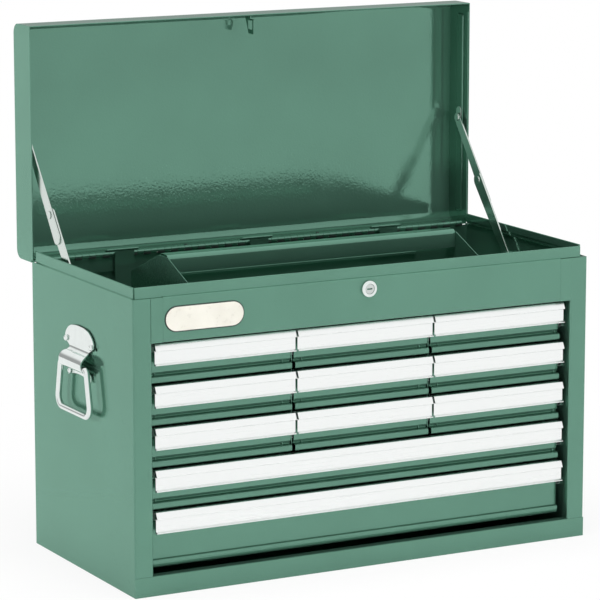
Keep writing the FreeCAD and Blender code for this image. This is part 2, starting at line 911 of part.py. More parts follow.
def lock_plug():
    """Key plug with the cam that hooks into the lid's catch, shown unlocked."""
    start = front - lock_face_height - plug_face_height
    cam_y = front + lock_barrel_length + slip
    plug = few_sided("y", (0, lock_z), start, cam_y - start, plug_radius, lock_sides)
    slot = block(-key_slot_length / 2, key_slot_length / 2, start - overrun, start + key_slot_depth,
                 lock_z - key_slot_width / 2, lock_z + key_slot_width / 2)
    finger_z = body_height + catch_window_bottom + catch_window_height / 2
    hub = few_sided("y", (0, lock_z), cam_y, cam_thickness, cam_hub_radius, lock_sides)
    left = -cam_offset - cam_width / 2
    right = -cam_offset + cam_width / 2
    half_finger = cam_finger_height / 2
    arm = [
        (-cam_hub_radius, lock_z),
        (left, finger_z + half_finger),
        (right + cam_finger_reach, finger_z + half_finger),
        (right + cam_finger_reach, finger_z - half_finger),
        (right, finger_z - half_finger),
        (cam_hub_radius / 2, lock_z),
    ]
    cam = prism("y", arm, cam_y, cam_y + cam_thickness)
    cam.rotate(vec(0, 0, lock_z), vec(0, 1, 0), cam_parked_turn)
    return fused([plug.cut(slot), hub, cam])


def lock_bars():
    """Three vertical bars with a hook behind every drawer."""
    bars = []
    bays = drawer_bays()
    lowest = bays[-1][3] - box_top_drop - bar_foot_drop
    for x in bar_centres():
        pieces = [block(x - bar_width / 2, x + bar_width / 2, bar_front, bar_back, lowest, bar_top)]
        for row in range(len(row_names)):
            flange = row_top - row * row_pitch - box_top_drop
            low = flange + hook_clearance
            shelf = low + hook_finger
            y0 = bar_front - hook_reach
            x0, x1 = x - hook_width / 2, x + hook_width / 2
            pieces.append(block(x0, x1, y0, bar_front, shelf, shelf + bar_thickness))
            pieces.append(block(x0, x1, y0, y0 + bar_thickness, low, shelf + bar_thickness))
        bars.append(fused(pieces))
    return Part.makeCompound(bars)


def stay_points():
    """Foot, knuckle and lid pivot of a stay at rest, as (y, z)."""
    foot = (stay_foot_back, body_height - stay_foot_drop)
    knuckle = (stay_knuckle_back, body_height + stay_knuckle_rise)
    lid = (hinge_y + stay_lid_depth, body_height + stay_lid_height)
    return foot, knuckle, lid


def arm_plate(start, end, start_width, end_width, x, beyond=0):
    """Flat arm with round ends between two pivots."""
    dy, dz = end[0] - start[0], end[1] - start[1]
    length = math.hypot(dy, dz)
    tip = (end[0] + dy / length * beyond, end[1] + dz / length * beyond)
    heading = math.atan2(dz, dy)
    points = []
    for centre, width, turn in ((tip, end_width, -math.pi / 2), (start, start_width, math.pi / 2)):
        for i in range(arm_end_steps + 1):
            angle = heading + turn + math.pi * i / arm_end_steps
            points.append((centre[0] + width / 2 * math.cos(angle), centre[1] + width / 2 * math.sin(angle)))
    return prism("x", points, x, x + arm_thickness)


def pivot_hole(centre, x):
    """Hole for a stay rivet through a plate near x."""
    return few_sided("x", centre, x - overrun, 2 * overrun, stay_rivet_radius + stay_hole_gap,
                     rivet_sides, True)


def stay_lower(right):
    """Lower arm of a stay, from its foot on the side panel to the knuckle rivet."""
    foot, knuckle, lid = stay_points()
    arm = arm_plate(foot, knuckle, arm_width, knuckle_width, arm_inboard)
    arm = arm.cut(pivot_hole(foot, arm_inboard))
    rivet_start = arm_inboard - stay_head_height
    outer_face = arm_inboard + 2 * arm_thickness + 2 * slip
    head = few_sided("x", knuckle, rivet_start, stay_head_height, stay_head_radius, rivet_sides)
    shank = few_sided("x", knuckle, rivet_start, outer_face + stay_head_height - rivet_start,
                      stay_rivet_radius, rivet_sides)
    tail = few_sided("x", knuckle, outer_face, stay_head_height, stay_head_radius, rivet_sides)
    arm = fused([arm, head, shank, tail])
    return arm if right else mirrored(arm)


def stay_upper(right):
    """Upper arm of a stay, from the lid down past the knuckle to its stop."""
    foot, knuckle, lid = stay_points()
    x = arm_inboard + arm_thickness + slip
    arm = arm_plate(lid, knuckle, upper_arm_width, knuckle_width - 2 * sheet, x, upper_arm_tail)
    arm = arm.cut(pivot_hole(knuckle, x))
    stud_end = lid_inner_half - lid_rib_depth - stay_bracket - slip
    stud = few_sided("x", lid, x, stud_end - x, stay_rivet_radius, rivet_sides)
    cap = few_sided("x", lid, x - stay_head_height, stay_head_height, stay_head_radius, rivet_sides)
    arm = fused([arm, stud, cap])
    return arm if right else mirrored(arm)


def stay_brackets():
    """Plated pads on the lid's side ribs where the stays end."""
    lid = stay_points()[2]
    outer = lid_inner_half - lid_rib_depth
    half_z = stay_bracket_length / 2
    half_y = stay_bracket_height / 2
    rim_side = hinge_y + rim_top - hinge_z + slip
    corner = half_y / 2
    low, high = lid[1] - half_z, lid[1] + half_z
    pad = [
        (rim_side, low + corner),
        (rim_side + corner, low),
        (lid[0] + half_y - corner, low),
        (lid[0] + half_y, low + corner),
        (lid[0] + half_y, high - corner),
        (lid[0] + half_y - corner, high),
        (rim_side + corner, high),
        (rim_side, high - corner),
    ]
    right = prism("x", pad, outer - stay_bracket, outer)
    return Part.makeCompound([right, mirrored(right)])


def handle_plate():
    """Right-hand handle plate: stamped sheet with ears, waist and the rolled barrel for the bail."""
    x = half_width
    z = handle_z
    flat = x + handle_sheet
    crest = barrel_x + barrel_radius - handle_sheet
    path = [
        (flat, z + plate_top),
        (flat, z + plate_flat_rise),
        (crest, z + barrel_radius / 2),
        (crest, z - barrel_radius / 2),
        (flat, z - plate_flat_drop),
        (flat, z - plate_bottom),
    ]
    section = [(a, b) for a, b, *bend in folded(path, handle_sheet, 0)]
    sheet_form = prism("y", section, -plate_ear_half_width * 2, plate_ear_half_width * 2)
    waist = barrel_half_length
    half = [
        (plate_foot_half_width * 2 / 3, -plate_bottom, plate_waist_radius),
        (plate_foot_half_width, -plate_flat_drop, plate_waist_radius),
        (waist, 0, plate_waist_radius),
        (waist, plate_flat_rise - plate_ear_radius, plate_waist_radius / 2),
        (plate_ear_half_width, plate_flat_rise, plate_ear_radius * 2 / 3),
        (plate_ear_half_width, plate_ear_rise + plate_ear_radius, plate_ear_radius),
        (plate_half_width * 2 / 3, plate_top, plate_lobe_radius),
    ]
    right = [(a, b + z, r) for a, b, r in half]
    left = [(-a, b + z, r) for a, b, r in reversed(half)]
    blank = prism("x", right + left, x - overrun, barrel_x + barrel_radius + overrun)
    plate = sheet_form.common(blank)
    barrel = few_sided("y", (barrel_x, z), -barrel_half_length, 2 * barrel_half_length, barrel_radius,
                       2 * wire_sides)
    bore = few_sided("y", (barrel_x, z), -plate_ear_half_width * 2, plate_ear_half_width * 4,
                     bail_radius + bail_gap, wire_sides, True)
    plate = fused([plate, barrel]).cut(bore)
    for place in handle_screw_places():
        plate = plate.cut(few_sided("x", place, x - overrun, 2 * overrun, screw_radius + screw_gap,
                                    screw_sides, True))
    return plate


def handle_plates():
    """Both handle plates."""
    right = handle_plate()
    return Part.makeCompound([right, mirrored(right)])


def bail(right):
    """Wire bail, hanging from the barrel of its plate."""
    low = handle_z - bail_drop
    points = [
        (0, handle_z),
        (bail_top_half_width, handle_z, bail_shoulder),
        (bail_half_width, low, bail_corner),
        (0, low),
    ]
    spine = outline("x", points, barrel_x, False)
    section = []
    for i in range(wire_sides):
        angle = math.pi * (2 * i + 1) / wire_sides
        section.append((barrel_x + bail_radius * math.cos(angle), handle_z + bail_radius * math.sin(angle)))
    ring = outline("y", section, 0)
    half = spine.makePipeShell([ring], True, False, 1)
    other = half.mirror(vec(0, 0, 0), vec(0, 1, 0))
    loop = fused([half, other])
    return loop if right else mirrored(loop)


def handle_screws():
    """Round-headed screws of the two handles."""
    screws = []
    start = half_width + handle_sheet
    for place in handle_screw_places():
        head = few_sided_taper("x", place, start, screw_head_height, screw_head_radius,
                               screw_head_radius * screw_crown_share, screw_sides)
        shank = few_sided("x", place, start - screw_length, screw_length, screw_radius, screw_sides)
        screw = fused([head, shank])
        screws.append(screw)
        screws.append(mirrored(screw))
    return Part.makeCompound(screws)


def tray_pan():
    """Tote tray: floor, two hemmed walls and two gable ends."""
    bottom = till_floor_top + tray_lift
    inner = tray_half_length - sheet
    wall_top = bottom + tray_wall_height
    floor = block(-inner, inner, -tray_half_depth, tray_half_depth, bottom, bottom + sheet)
    pieces = [floor]
    for sign in (-1, 1):
        y0, y1 = sorted((sign * tray_half_depth, sign * (tray_half_depth - sheet)))
        pieces.append(block(-inner, inner, y0, y1, bottom, wall_top))
        h0, h1 = sorted((sign * tray_half_depth, sign * (tray_half_depth - tray_hem)))
        pieces.append(block(-inner, inner, h0, h1, wall_top - tray_hem_height, wall_top))
    half = [
        (tray_half_depth, bottom, 0),
        (tray_half_depth, bottom + tray_shoulder, tray_corner_radius),
        (tray_peak_half_width, bottom + tray_peak, tray_peak_radius),
    ]
    gable = half + [(-a, b, r) for a, b, r in reversed(half)]
    for sign in (-1, 1):
        x0, x1 = sorted((sign * inner, sign * tray_half_length))
        pieces.append(prism("x", gable, x0, x1))
    return fused(pieces)


def tray_handle():
    """Folded rail between the tray's gable peaks."""
    top = till_floor_top + tray_lift + tray_peak - slip
    path = [
        (-rail_half_width, top - rail_drop),
        (-rail_half_width, top),
        (rail_half_width, top),
        (rail_half_width, top - rail_drop),
    ]
    inner = tray_half_length - sheet
    return prism("x", folded(path, sheet, rail_bend), -inner, inner)


def build():
    """Every sub-part by its name."""
    parts = {
        "side_panel_left": side_panel(True),
        "side_panel_right": side_panel(False),
        "back_panel": back_panel(),
        "bottom_pan": bottom_pan(),
        "front_header": front_header(),
        "till_floor": till_floor(),
        "slide_partitions": slide_partitions(),
        "slide_channels": slide_channels(),
        "hinge_leaf_cabinet": hinge_leaf_cabinet(),
        "hinge_leaf_lid": opened(hinge_leaf_lid_closed()),
        "hinge_pin": hinge_pin(),
        "lid_shell": opened(lid_shell_closed()),
        "lid_catch": opened(lid_catch_closed()),
        "stay_brackets": stay_brackets(),
        "stay_lower_left": stay_lower(False),
        "stay_lower_right": stay_lower(True),
        "stay_upper_left": stay_upper(False),
        "stay_upper_right": stay_upper(True),
        "lock_bars": lock_bars(),
        "lock_body": lock_body(),
        "lock_plug": lock_plug(),
        "handle_plates": handle_plates(),
        "handle_screws": handle_screws(),
        "bail_left": bail(False),
        "bail_right": bail(True),
        "tray_pan": tray_pan(),
        "tray_handle": tray_handle(),
    }
    for name, left, right, top, row in drawer_bays():
        parts["drawer_" + name + "_box"] = drawer_box(left, right, top, row)
        parts["drawer_" + name + "_pull"] = drawer_pull(left, right, top)
        parts["drawer_" + name + "_runners"] = drawer_runners(left, right, top)
    return parts


os.makedirs("parts", exist_ok=True)
for part_name, part_shape in build().items():
    part_shape.exportStep(os.path.join("parts", part_name + ".step"))
    print(part_name, "solids", len(part_shape.Solids), "valid", part_shape.isValid())
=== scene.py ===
import json
import math
import bmesh
import bpy
from mathutils import Matrix, Vector

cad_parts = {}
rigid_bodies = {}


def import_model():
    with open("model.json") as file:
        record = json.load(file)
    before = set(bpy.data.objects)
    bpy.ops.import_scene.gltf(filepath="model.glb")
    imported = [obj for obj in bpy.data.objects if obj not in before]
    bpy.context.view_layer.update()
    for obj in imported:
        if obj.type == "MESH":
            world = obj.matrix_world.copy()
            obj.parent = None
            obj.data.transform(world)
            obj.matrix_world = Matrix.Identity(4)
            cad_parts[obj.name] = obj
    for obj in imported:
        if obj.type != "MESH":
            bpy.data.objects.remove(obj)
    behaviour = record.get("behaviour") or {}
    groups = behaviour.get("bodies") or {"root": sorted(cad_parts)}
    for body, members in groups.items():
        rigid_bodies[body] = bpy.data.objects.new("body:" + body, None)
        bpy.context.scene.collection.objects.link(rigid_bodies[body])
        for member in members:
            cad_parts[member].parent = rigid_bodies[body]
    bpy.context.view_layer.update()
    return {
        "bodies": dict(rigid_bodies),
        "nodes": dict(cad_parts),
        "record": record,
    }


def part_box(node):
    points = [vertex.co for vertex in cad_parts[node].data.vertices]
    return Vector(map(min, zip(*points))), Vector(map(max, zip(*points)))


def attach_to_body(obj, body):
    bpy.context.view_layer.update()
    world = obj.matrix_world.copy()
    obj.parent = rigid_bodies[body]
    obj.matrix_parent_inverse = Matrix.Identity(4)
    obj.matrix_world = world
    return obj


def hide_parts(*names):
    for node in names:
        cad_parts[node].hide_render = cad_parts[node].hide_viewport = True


# Looks of a bench-top machinist tool chest: gloss green enamel, bright pulls, plated fittings.
# Lengths are written in millimetres and turned to metres by MM. X right, Y back, Z up.

MM = 0.001
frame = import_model()
nodes = frame["nodes"]
body_of_node = {}
for body_name, members in frame["record"]["behaviour"]["bodies"].items():
    for member in members:
        body_of_node[member] = body_name
slot_of_node = {}
for entry in frame["record"]["subparts"]:
    slot_of_node[entry["node"]] = entry["material_slot"]

# Sizes shared with the solids
SHEET = 1.0
FRONT = -154.5  # outer face of the cabinet's front
HALF_WIDTH = 330.0
FRONT_PLANE = -136.8  # outer face of the drawer fronts
DRAWER_BACK = 128.0
PULL_TO_GROOVE = {True: 62.33, False: 43.0}  # top of the pull to the groove, bottom drawer and others
PULL_TO_FLOOR = {True: 65.0, False: 46.0}
GROOVE = {True: 0.0, False: 3.6}  # how deep the front steps back below the groove
LOCKING_BARS = (-200.0, 0.0, 200.0)
PANEL_LOW = 321.5  # fixed panel above the drawers
PANEL_HIGH = 378.0
PANEL_END = 288.9
TAB = 13.6  # width of the tabs behind the stiles
RIM_IN = 2.5  # how far the rim stands back from the panel
RIM_HIGH = 392.5
HINGE = (151.5, 379.5)
HINGE_RADIUS = 3.0
HINGE_PITCH = 20.0
HINGE_KNUCKLES = 32
KNUCKLE = 9.8
LID_KNUCKLES = -305.0  # first knuckle of the lid's leaf
LID_LOW = 378.6
LID_HIGH = 430.2
LID_BEND = 13.0
BARRELS = 341.0  # axis of the bails off the middle
HANDLE_Z = 270.0
BAIL_RADIUS = 4.0
LOCK_Z = 364.0
RAIL_MIDDLE = (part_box("tray_handle")[0].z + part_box("tray_handle")[1].z) / 2 / MM


# Node helpers

def ramp(tree, value, start, end, low, high):
    """A soft step from low to high while the value runs from start to end."""
    step = tree.nodes.new("ShaderNodeMapRange")
    step.interpolation_type = "SMOOTHSTEP"
    for label, number in (("From Min", start), ("From Max", end), ("To Min", low), ("To Max", high)):
        step.inputs[label].default_value = number
    tree.links.new(value, step.inputs["Value"])
    return step.outputs["Result"]


def reckon(tree, operation, first, second):
    """One sum; each side is a number or a socket."""
    node = tree.nodes.new("ShaderNodeMath")
    node.operation = operation
    for place, value in enumerate((first, second)):
        if isinstance(value, float):
            node.inputs[place].default_value = value
        else:
            tree.links.new(value, node.inputs[place])
    return node.outputs[0]


def blended(tree, share, first, second):
    """Two shaders mixed by a share of the second."""
    mix = tree.nodes.new("ShaderNodeMixShader")
    tree.links.new(share, mix.inputs["Fac"])
    tree.links.new(first, mix.inputs[1])
    tree.links.new(second, mix.inputs[2])
    return mix.outputs[0]


# Camera, room and lamps

def camera():
    """The photo's point of view."""
    data = bpy.data.cameras.new("view")
    data.sensor_width = 36.0
    data.lens = 197.934
    data.clip_end = 60.0
    seen = bpy.data.objects.new("view", data)
    seen.location = (-2.01497, -3.74564, 1.12706)
    seen.rotation_euler = (math.radians(90 - 10.70), 0, math.radians(-28.09))
    bpy.context.scene.collection.objects.link(seen)
    bpy.context.scene.camera = seen


def sky(tree, strength):
    """White light from all round."""
    light = tree.nodes.new("ShaderNodeBackground")
    light.inputs["Color"].default_value = (1, 1, 1, 1)
    if isinstance(strength, float):
        light.inputs["Strength"].default_value = strength
    else:
        tree.links.new(strength, light.inputs["Strength"])
    return light.outputs[0]


def room():
    """White backdrop, a faint fill, and a studio for mirrored rays that is dim low at the back."""
    bpy.context.scene.view_settings.view_transform = "Standard"
    world = bpy.data.worlds.new("studio")
    bpy.context.scene.world = world
    world.use_nodes = True
    tree = world.node_tree
    tree.nodes.clear()
    out = tree.nodes.new("ShaderNodeOutputWorld")
    direction = tree.nodes.new("ShaderNodeTexCoord")
    axes = tree.nodes.new("ShaderNodeSeparateXYZ")
    tree.links.new(direction.outputs["Generated"], axes.inputs[0])
    back = ramp(tree, axes.outputs["Y"], -0.1, 0.6, 0.0, 0.6)
    low = ramp(tree, axes.outputs["Z"], 0.22, 0.42, 1.0, 0.0)
    studio = sky(tree, reckon(tree, "SUBTRACT", 1.0, reckon(tree, "MULTIPLY", back, low)))
    path = tree.nodes.new("ShaderNodeLightPath")
    glossy = path.outputs["Is Glossy Ray"]
    direct = reckon(tree, "MAXIMUM", path.outputs["Is Camera Ray"], glossy)
    direct = reckon(tree, "MAXIMUM", direct, path.outputs["Is Transmission Ray"])
    seen = blended(tree, glossy, sky(tree, 1.0), studio)
    tree.links.new(blended(tree, direct, sky(tree, 0.1), seen), out.inputs["Surface"])


def lamp(name, place, aim, width, height, power):
    """A soft box that lights the piece but isn't mirrored in it."""
    data = bpy.data.lights.new(name, "AREA")
    data.shape = "RECTANGLE"
    data.size = width
    data.size_y = height
    data.energy = power
    source = bpy.data.objects.new(name, data)
    source.location = place
    source.rotation_euler = (Vector(aim) - Vector(place)).to_track_quat("-Z", "Y").to_euler()
    source.visible_glossy = False
    bpy.context.scene.collection.objects.link(source)


def studio_floor():
    """A wide sheet under the piece."""
    mesh = bpy.data.meshes.new("floor")
    mesh.from_pydata([(-9, -9, 0), (9, -9, 0), (9, 9, 0), (-9, 9, 0)], [], [(0, 1, 2, 3)])
    mesh.materials.append(floor_paper())
    sheet = bpy.data.objects.new("floor", mesh)
    bpy.context.scene.collection.objects.link(sheet)


# Materials

def finish(name, colour, metallic, roughness):
    """A material with its main shader, ready for pattern nodes."""
    material = bpy.data.materials.new(name)
    material.use_nodes = True
    shader = material.node_tree.nodes["Principled BSDF"]
    shader.inputs["Base Color"].default_value = (*colour, 1)
    shader.inputs["Metallic"].default_value = metallic
    shader.inputs["Roughness"].default_value = roughness
    return material, material.node_tree, shader


def grain(tree, scale, stretch=(1, 1, 1), detail=3.0, rough=0.5):
    """Noise over the piece; scale is in waves per metre."""
    coords = tree.nodes.new("ShaderNodeTexCoord")
    mapping = tree.nodes.new("ShaderNodeMapping")
    mapping.inputs["Scale"].default_value = stretch
    noise = tree.nodes.new("ShaderNodeTexNoise")
    noise.inputs["Scale"].default_value = scale
    noise.inputs["Detail"].default_value = detail
    noise.inputs["Roughness"].default_value = rough
    tree.links.new(coords.outputs["Object"], mapping.inputs["Vector"])
    tree.links.new(mapping.outputs["Vector"], noise.inputs["Vector"])
    return noise.outputs["Fac"]


def between(tree, pattern, low, high):
    """A pattern turned into a value between two limits."""
    spread = tree.nodes.new("ShaderNodeMapRange")
    spread.inputs["From Min"].default_value = 0.3
    spread.inputs["From Max"].default_value = 0.7
    spread.inputs["To Min"].default_value = low
    spread.inputs["To Max"].default_value = high
    tree.links.new(pattern, spread.inputs["Value"])
    return spread.outputs["Result"]


def two_tones(tree, shader, pattern, dark, light):
    """Base colour that wanders between two tones."""
    mix = tree.nodes.new("ShaderNodeMix")
    mix.data_type = "RGBA"
    mix.inputs[6].default_value = (*dark, 1)
    mix.inputs[7].default_value = (*light, 1)
    tree.links.new(between(tree, pattern, 0.0, 1.0), mix.inputs[0])
    tree.links.new(mix.outputs[2], shader.inputs["Base Color"])


def relief(tree, shader, pattern, height, coat=False):
    """Fine surface relief; height is in millimetres."""
    bump = tree.nodes.new("ShaderNodeBump")
    bump.inputs["Strength"].default_value = 1.0
    bump.inputs["Distance"].default_value = height * MM
    tree.links.new(pattern, bump.inputs["Height"])
    tree.links.new(bump.outputs["Normal"], shader.inputs["Normal"])
    if coat:
        tree.links.new(bump.outputs["Normal"], shader.inputs["Coat Normal"])


def enamel(name, colour):
    """Baked gloss enamel with fine metal flake and an orange peel."""
    material, tree, shader = finish(name, colour, 0.6, 0.09)
    shader.inputs["IOR"].default_value = 1.5
    shader.inputs["Specular Tint"].default_value = (0.6, 0.85, 0.74, 1)
    shader.inputs["Coat Weight"].default_value = 0.12
    shader.inputs["Coat Roughness"].default_value = 0.05
    dark = [c * 0.96 for c in colour]
    light = [c * 1.04 for c in colour]
    two_tones(tree, shader, grain(tree, 9.0), dark, light)
    rough = between(tree, grain(tree, 60.0, detail=4.0), 0.05, 0.085)
    tree.links.new(rough, shader.inputs["Roughness"])
    relief(tree, shader, grain(tree, 390.0, detail=1.2), 0.1, coat=True)
    return material


def bright_aluminium():
    """Extruded pulls with fine draw lines along X."""
    material, tree, shader = finish("bright_aluminium", (0.90, 0.92, 0.91), 1.0, 0.3)
    lines = grain(tree, 900.0, stretch=(0.012, 1, 1), detail=4.0, rough=0.6)
    two_tones(tree, shader, lines, (0.915, 0.935, 0.925), (0.93, 0.95, 0.94))
    tree.links.new(between(tree, lines, 0.26, 0.34), shader.inputs["Roughness"])
    relief(tree, shader, lines, 0.002)
    return material


def plating(name, colour, low, high, scale, height):
    """Zinc, nickel or chrome plate over stamped steel."""
    material, tree, shader = finish(name, colour, 1.0, (low + high) / 2)
    cloud = grain(tree, scale, detail=5.0, rough=0.65)
    dark = [c * 0.93 for c in colour]
    two_tones(tree, shader, cloud, dark, colour)
    tree.links.new(between(tree, cloud, low, high), shader.inputs["Roughness"])
    relief(tree, shader, grain(tree, scale * 4, detail=2.0), height)
    return material


def trim_and_shade_lacquer():
    """Dull dark lacquer for borders and screws, also painted shade in the recesses under the hinge knuckles."""
    material, tree, shader = finish("dark_trim_lacquer_and_painted_shade", (0.012, 0.022, 0.018), 0.0, 0.5)
    two_tones(tree, shader, grain(tree, 200.0), (0.008, 0.016, 0.013), (0.016, 0.03, 0.024))
    tree.links.new(between(tree, grain(tree, 400.0), 0.42, 0.6), shader.inputs["Roughness"])
    relief(tree, shader, grain(tree, 900.0), 0.01)
    return material


def cream_plate():
    """Bare plate, pale satin lacquer on thin metal."""
    material, tree, shader = finish("cream_lacquer", (0.78, 0.76, 0.68), 0.0, 0.3)
    two_tones(tree, shader, grain(tree, 40.0), (0.74, 0.72, 0.64), (0.82, 0.80, 0.72))
    tree.links.new(between(tree, grain(tree, 160.0), 0.25, 0.38), shader.inputs["Roughness"])
    relief(tree, shader, grain(tree, 500.0), 0.008)
    return material


def floor_paper():
    """Pale backdrop paper that runs to white away from the piece and keeps its shadow."""
    material = bpy.data.materials.new("backdrop_paper")
    material.use_nodes = True
    tree = material.node_tree
    tree.nodes.clear()
    out = tree.nodes.new("ShaderNodeOutputMaterial")
    paper = tree.nodes.new("ShaderNodeBsdfDiffuse")
    paper.inputs["Color"].default_value = (0.85, 0.85, 0.85, 1)
    glow = tree.nodes.new("ShaderNodeEmission")
    glow.inputs["Color"].default_value = (1, 1, 1, 1)
    glow.inputs["Strength"].default_value = 1.0
    path = tree.nodes.new("ShaderNodeLightPath")
    coords = tree.nodes.new("ShaderNodeTexCoord")
    shares = []
    for ray, centre, start, end, low in (("Is Camera Ray", (0, 0, 0), 0.4, 0.95, 0.88),
                                         ("Is Glossy Ray", (0.05, -0.35, 0), 0.2, 0.9, 0.3)):
        distance = tree.nodes.new("ShaderNodeVectorMath")
        distance.operation = "DISTANCE"
        distance.inputs[1].default_value = centre
        tree.links.new(coords.outputs["Object"], distance.inputs[0])
        white = ramp(tree, distance.outputs["Value"], start, end, low, 1.0)
        shares.append(reckon(tree, "MULTIPLY", path.outputs[ray], white))
    share = reckon(tree, "MAXIMUM", *shares)
    tree.links.new(blended(tree, share, paper.outputs[0], glow.outputs[0]), out.inputs["Surface"])
    return material


GREEN = (0.118, 0.26, 0.193)
finishes = {
    "cabinet_paint": enamel("cabinet_enamel", GREEN),
    "inner_paint": enamel("inner_enamel", [c * 0.97 for c in GREEN]),
    "drawer_paint": enamel("drawer_enamel", [c * 0.98 for c in GREEN]),
    "pull_aluminium": bright_aluminium(),
    "slide_zinc": plating("slide_plating", (0.55, 0.56, 0.57), 0.3, 0.45, 120.0, 0.01),
    "zinc": plating("stay_plating", (0.66, 0.73, 0.69), 0.14, 0.26, 60.0, 0.006),
    "hinge_steel": plating("hinge_plating", (0.10, 0.17, 0.13), 0.25, 0.4, 150.0, 0.01),
    "chrome": plating("handle_chrome", (0.80, 0.85, 0.83), 0.04, 0.10, 60.0, 0.004),
    "lock_steel": plating("lock_chrome", (0.62, 0.66, 0.64), 0.05, 0.14, 90.0, 0.006),
}
# Dark lacquer for real borders and screws, and for painted shade under the hinge knuckles.
border = trim_and_shade_lacquer()
plate_finish = cream_plate()


# Shared mesh work

def shade(mesh, angle=38.0):
    """Smooth faces with creases where the surface turns sharply."""
    bm = bmesh.new()
    bm.from_mesh(mesh)
    for face in bm.faces:
        face.smooth = True
    limit = math.radians(angle)
    for edge in bm.edges:
        edge.smooth = len(edge.link_faces) == 2 and edge.calc_face_angle(0.0) < limit
    bm.to_mesh(mesh)
    bm.free()


def baked(piece):
    """The piece's modifiers turned into plain mesh."""
    bpy.context.view_layer.update()
    graph = bpy.context.evaluated_depsgraph_get()
    result = bpy.data.meshes.new_from_object(piece.evaluated_get(graph), preserve_all_data_layers=True,
                                             depsgraph=graph)
    if piece.type == "MESH":
        piece.modifiers.clear()
        piece.data = result
        return piece
    name = piece.name
    bpy.data.objects.remove(piece)
    solid = bpy.data.objects.new(name, result)
    bpy.context.scene.collection.objects.link(solid)
    return solid


def piece_from(name, mesh, material, edge=0.0, steps=2, angle=38.0):
    """A finished object from a mesh, with its edges eased by a small radius in millimetres."""
    mesh.name = name
    if material:
        mesh.materials.clear()
        mesh.materials.append(material)
    shade(mesh, angle)
    piece = bpy.data.objects.new(name, mesh)
    bpy.context.scene.collection.objects.link(piece)
    if edge:
        ease = piece.modifiers.new("eased edges", "BEVEL")
        ease.width = edge * MM
        ease.segments = steps
        ease.limit_method = "ANGLE"
        ease.angle_limit = math.radians(angle)
        ease.use_clamp_overlap = True
        ease.harden_normals = False
        settle = piece.modifiers.new("flat faces", "WEIGHTED_NORMAL")
        settle.keep_sharp = True
        baked(piece)
    return piece


def attach(piece, body, stands_for=()):
    """Gives a piece its body and the solids that it stands for."""
    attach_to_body(piece, body)
    if stands_for:
        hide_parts(*stands_for)
    return piece


def mesh_of(bm, name):
    """A mesh from a bmesh, with doubles merged and faces outward."""
    bmesh.ops.remove_doubles(bm, verts=bm.verts, dist=1e-6)
    bmesh.ops.recalc_face_normals(bm, faces=bm.faces)
    mesh = bpy.data.meshes.new(name)
    bm.to_mesh(mesh)
    bm.free()
    return mesh


def sheet_copy(node, edge, angle=38.0, settle=None):
    """A solid's own shape with merged faces and eased edges, standing for it."""
    bm = bmesh.new()
    bm.from_mesh(nodes[node].data)
    if settle:
        for vert in bm.verts:
            vert.co = Vector(settle(*(vert.co / MM))) * MM
    bmesh.ops.remove_doubles(bm, verts=bm.verts, dist=2e-6)
    bmesh.ops.recalc_face_normals(bm, faces=bm.faces)
    bmesh.ops.dissolve_limit(bm, angle_limit=math.radians(0.5), verts=bm.verts, edges=bm.edges)
    mesh = bpy.data.meshes.new(node)
    bm.to_mesh(mesh)
    bm.free()
    slot = slot_of_node[node]
    piece = piece_from(node + "_sheet", mesh, finishes[slot], edge, 2, angle)
    return attach(piece, body_of_node[node], [node])


def rounded(points, steps=5):
    """A closed outline whose corners (a, b, radius) become arcs."""
    result = []
    count = len(points)
    for i, point in enumerate(points):
        radius = point[2] if len(point) > 2 else 0
        if not radius:
            result.append((point[0], point[1]))
            continue
        corner = Vector((point[0], point[1]))
        before = (Vector(points[i - 1][:2]) - corner).normalized()
        after = (Vector(points[(i + 1) % count][:2]) - corner).normalized()
        half = math.acos(max(-1, min(1, before.dot(after)))) / 2
        middle = (before + after).normalized()
        centre = corner + middle * radius / math.sin(half)
        start = before * radius / math.tan(half) + corner - centre
        sweep = math.pi - 2 * half
        if before.x * after.y - before.y * after.x > 0:
            sweep = -sweep
        for k in range(steps + 1):
            turned = Matrix.Rotation(sweep * k / steps, 2) @ start
            result.append(tuple(centre + turned))
    return result


def folded(points, thickness):
    """Outline of a folded sheet; the metal lies to the right of the path (a, b, bend radius)."""
    count = len(points)
    normals = []
    for i in range(count - 1):
        step = Vector((points[i + 1][0] - points[i][0], points[i + 1][1] - points[i][1])).normalized()
        normals.append(Vector((step.y, -step.x)))
    near = []
    far = []
    for i, point in enumerate(points):
        bend = point[2] if len(point) > 2 else 0
        n0 = normals[max(i - 1, 0)]
        n1 = normals[min(i, count - 2)]
        turn = n0.x * n1.y - n0.y * n1.x
        shift = (n0 + n1) * thickness / (1 + n0.dot(n1))
        outer, inner = bend + thickness, max(bend, 0.05)
        if i in (0, count - 1):
            outer, inner = 0, 0
        near.append((point[0], point[1], outer if turn < 0 else inner))
        far.append((point[0] + shift.x, point[1] + shift.y, inner if turn < 0 else outer))
    return near + far[::-1]


def board(bm, x, y, z):
    """One flat board between two values on each axis."""
    corners = []
    for dx in (0, 1):
        for dy in (0, 1):
            for dz in (0, 1):
                corners.append(bm.verts.new((x[dx] * MM, y[dy] * MM, z[dz] * MM)))
    for face in ((0, 1, 3, 2), (4, 6, 7, 5), (0, 4, 5, 1), (2, 3, 7, 6), (0, 2, 6, 4), (1, 5, 7, 3)):
        bm.faces.new([corners[k] for k in face])


def plate(bm, outline, x0, x1):
    """A flat sheet across X with the given outline (y, z)."""
    near = [bm.verts.new((x0 * MM, y * MM, z * MM)) for y, z in outline]
    far = [bm.verts.new((x1 * MM, y * MM, z * MM)) for y, z in outline]
    bm.faces.new(near)
    bm.faces.new(far[::-1])
    skin(bm, (near, far))


def skin(bm, rings):
    """Faces between one closed ring of points and the next."""
    for one, two in zip(rings, rings[1:]):
        for k in range(len(one)):
            n = (k + 1) % len(one)
            bm.faces.new((one[k], two[k], two[n], one[n]))


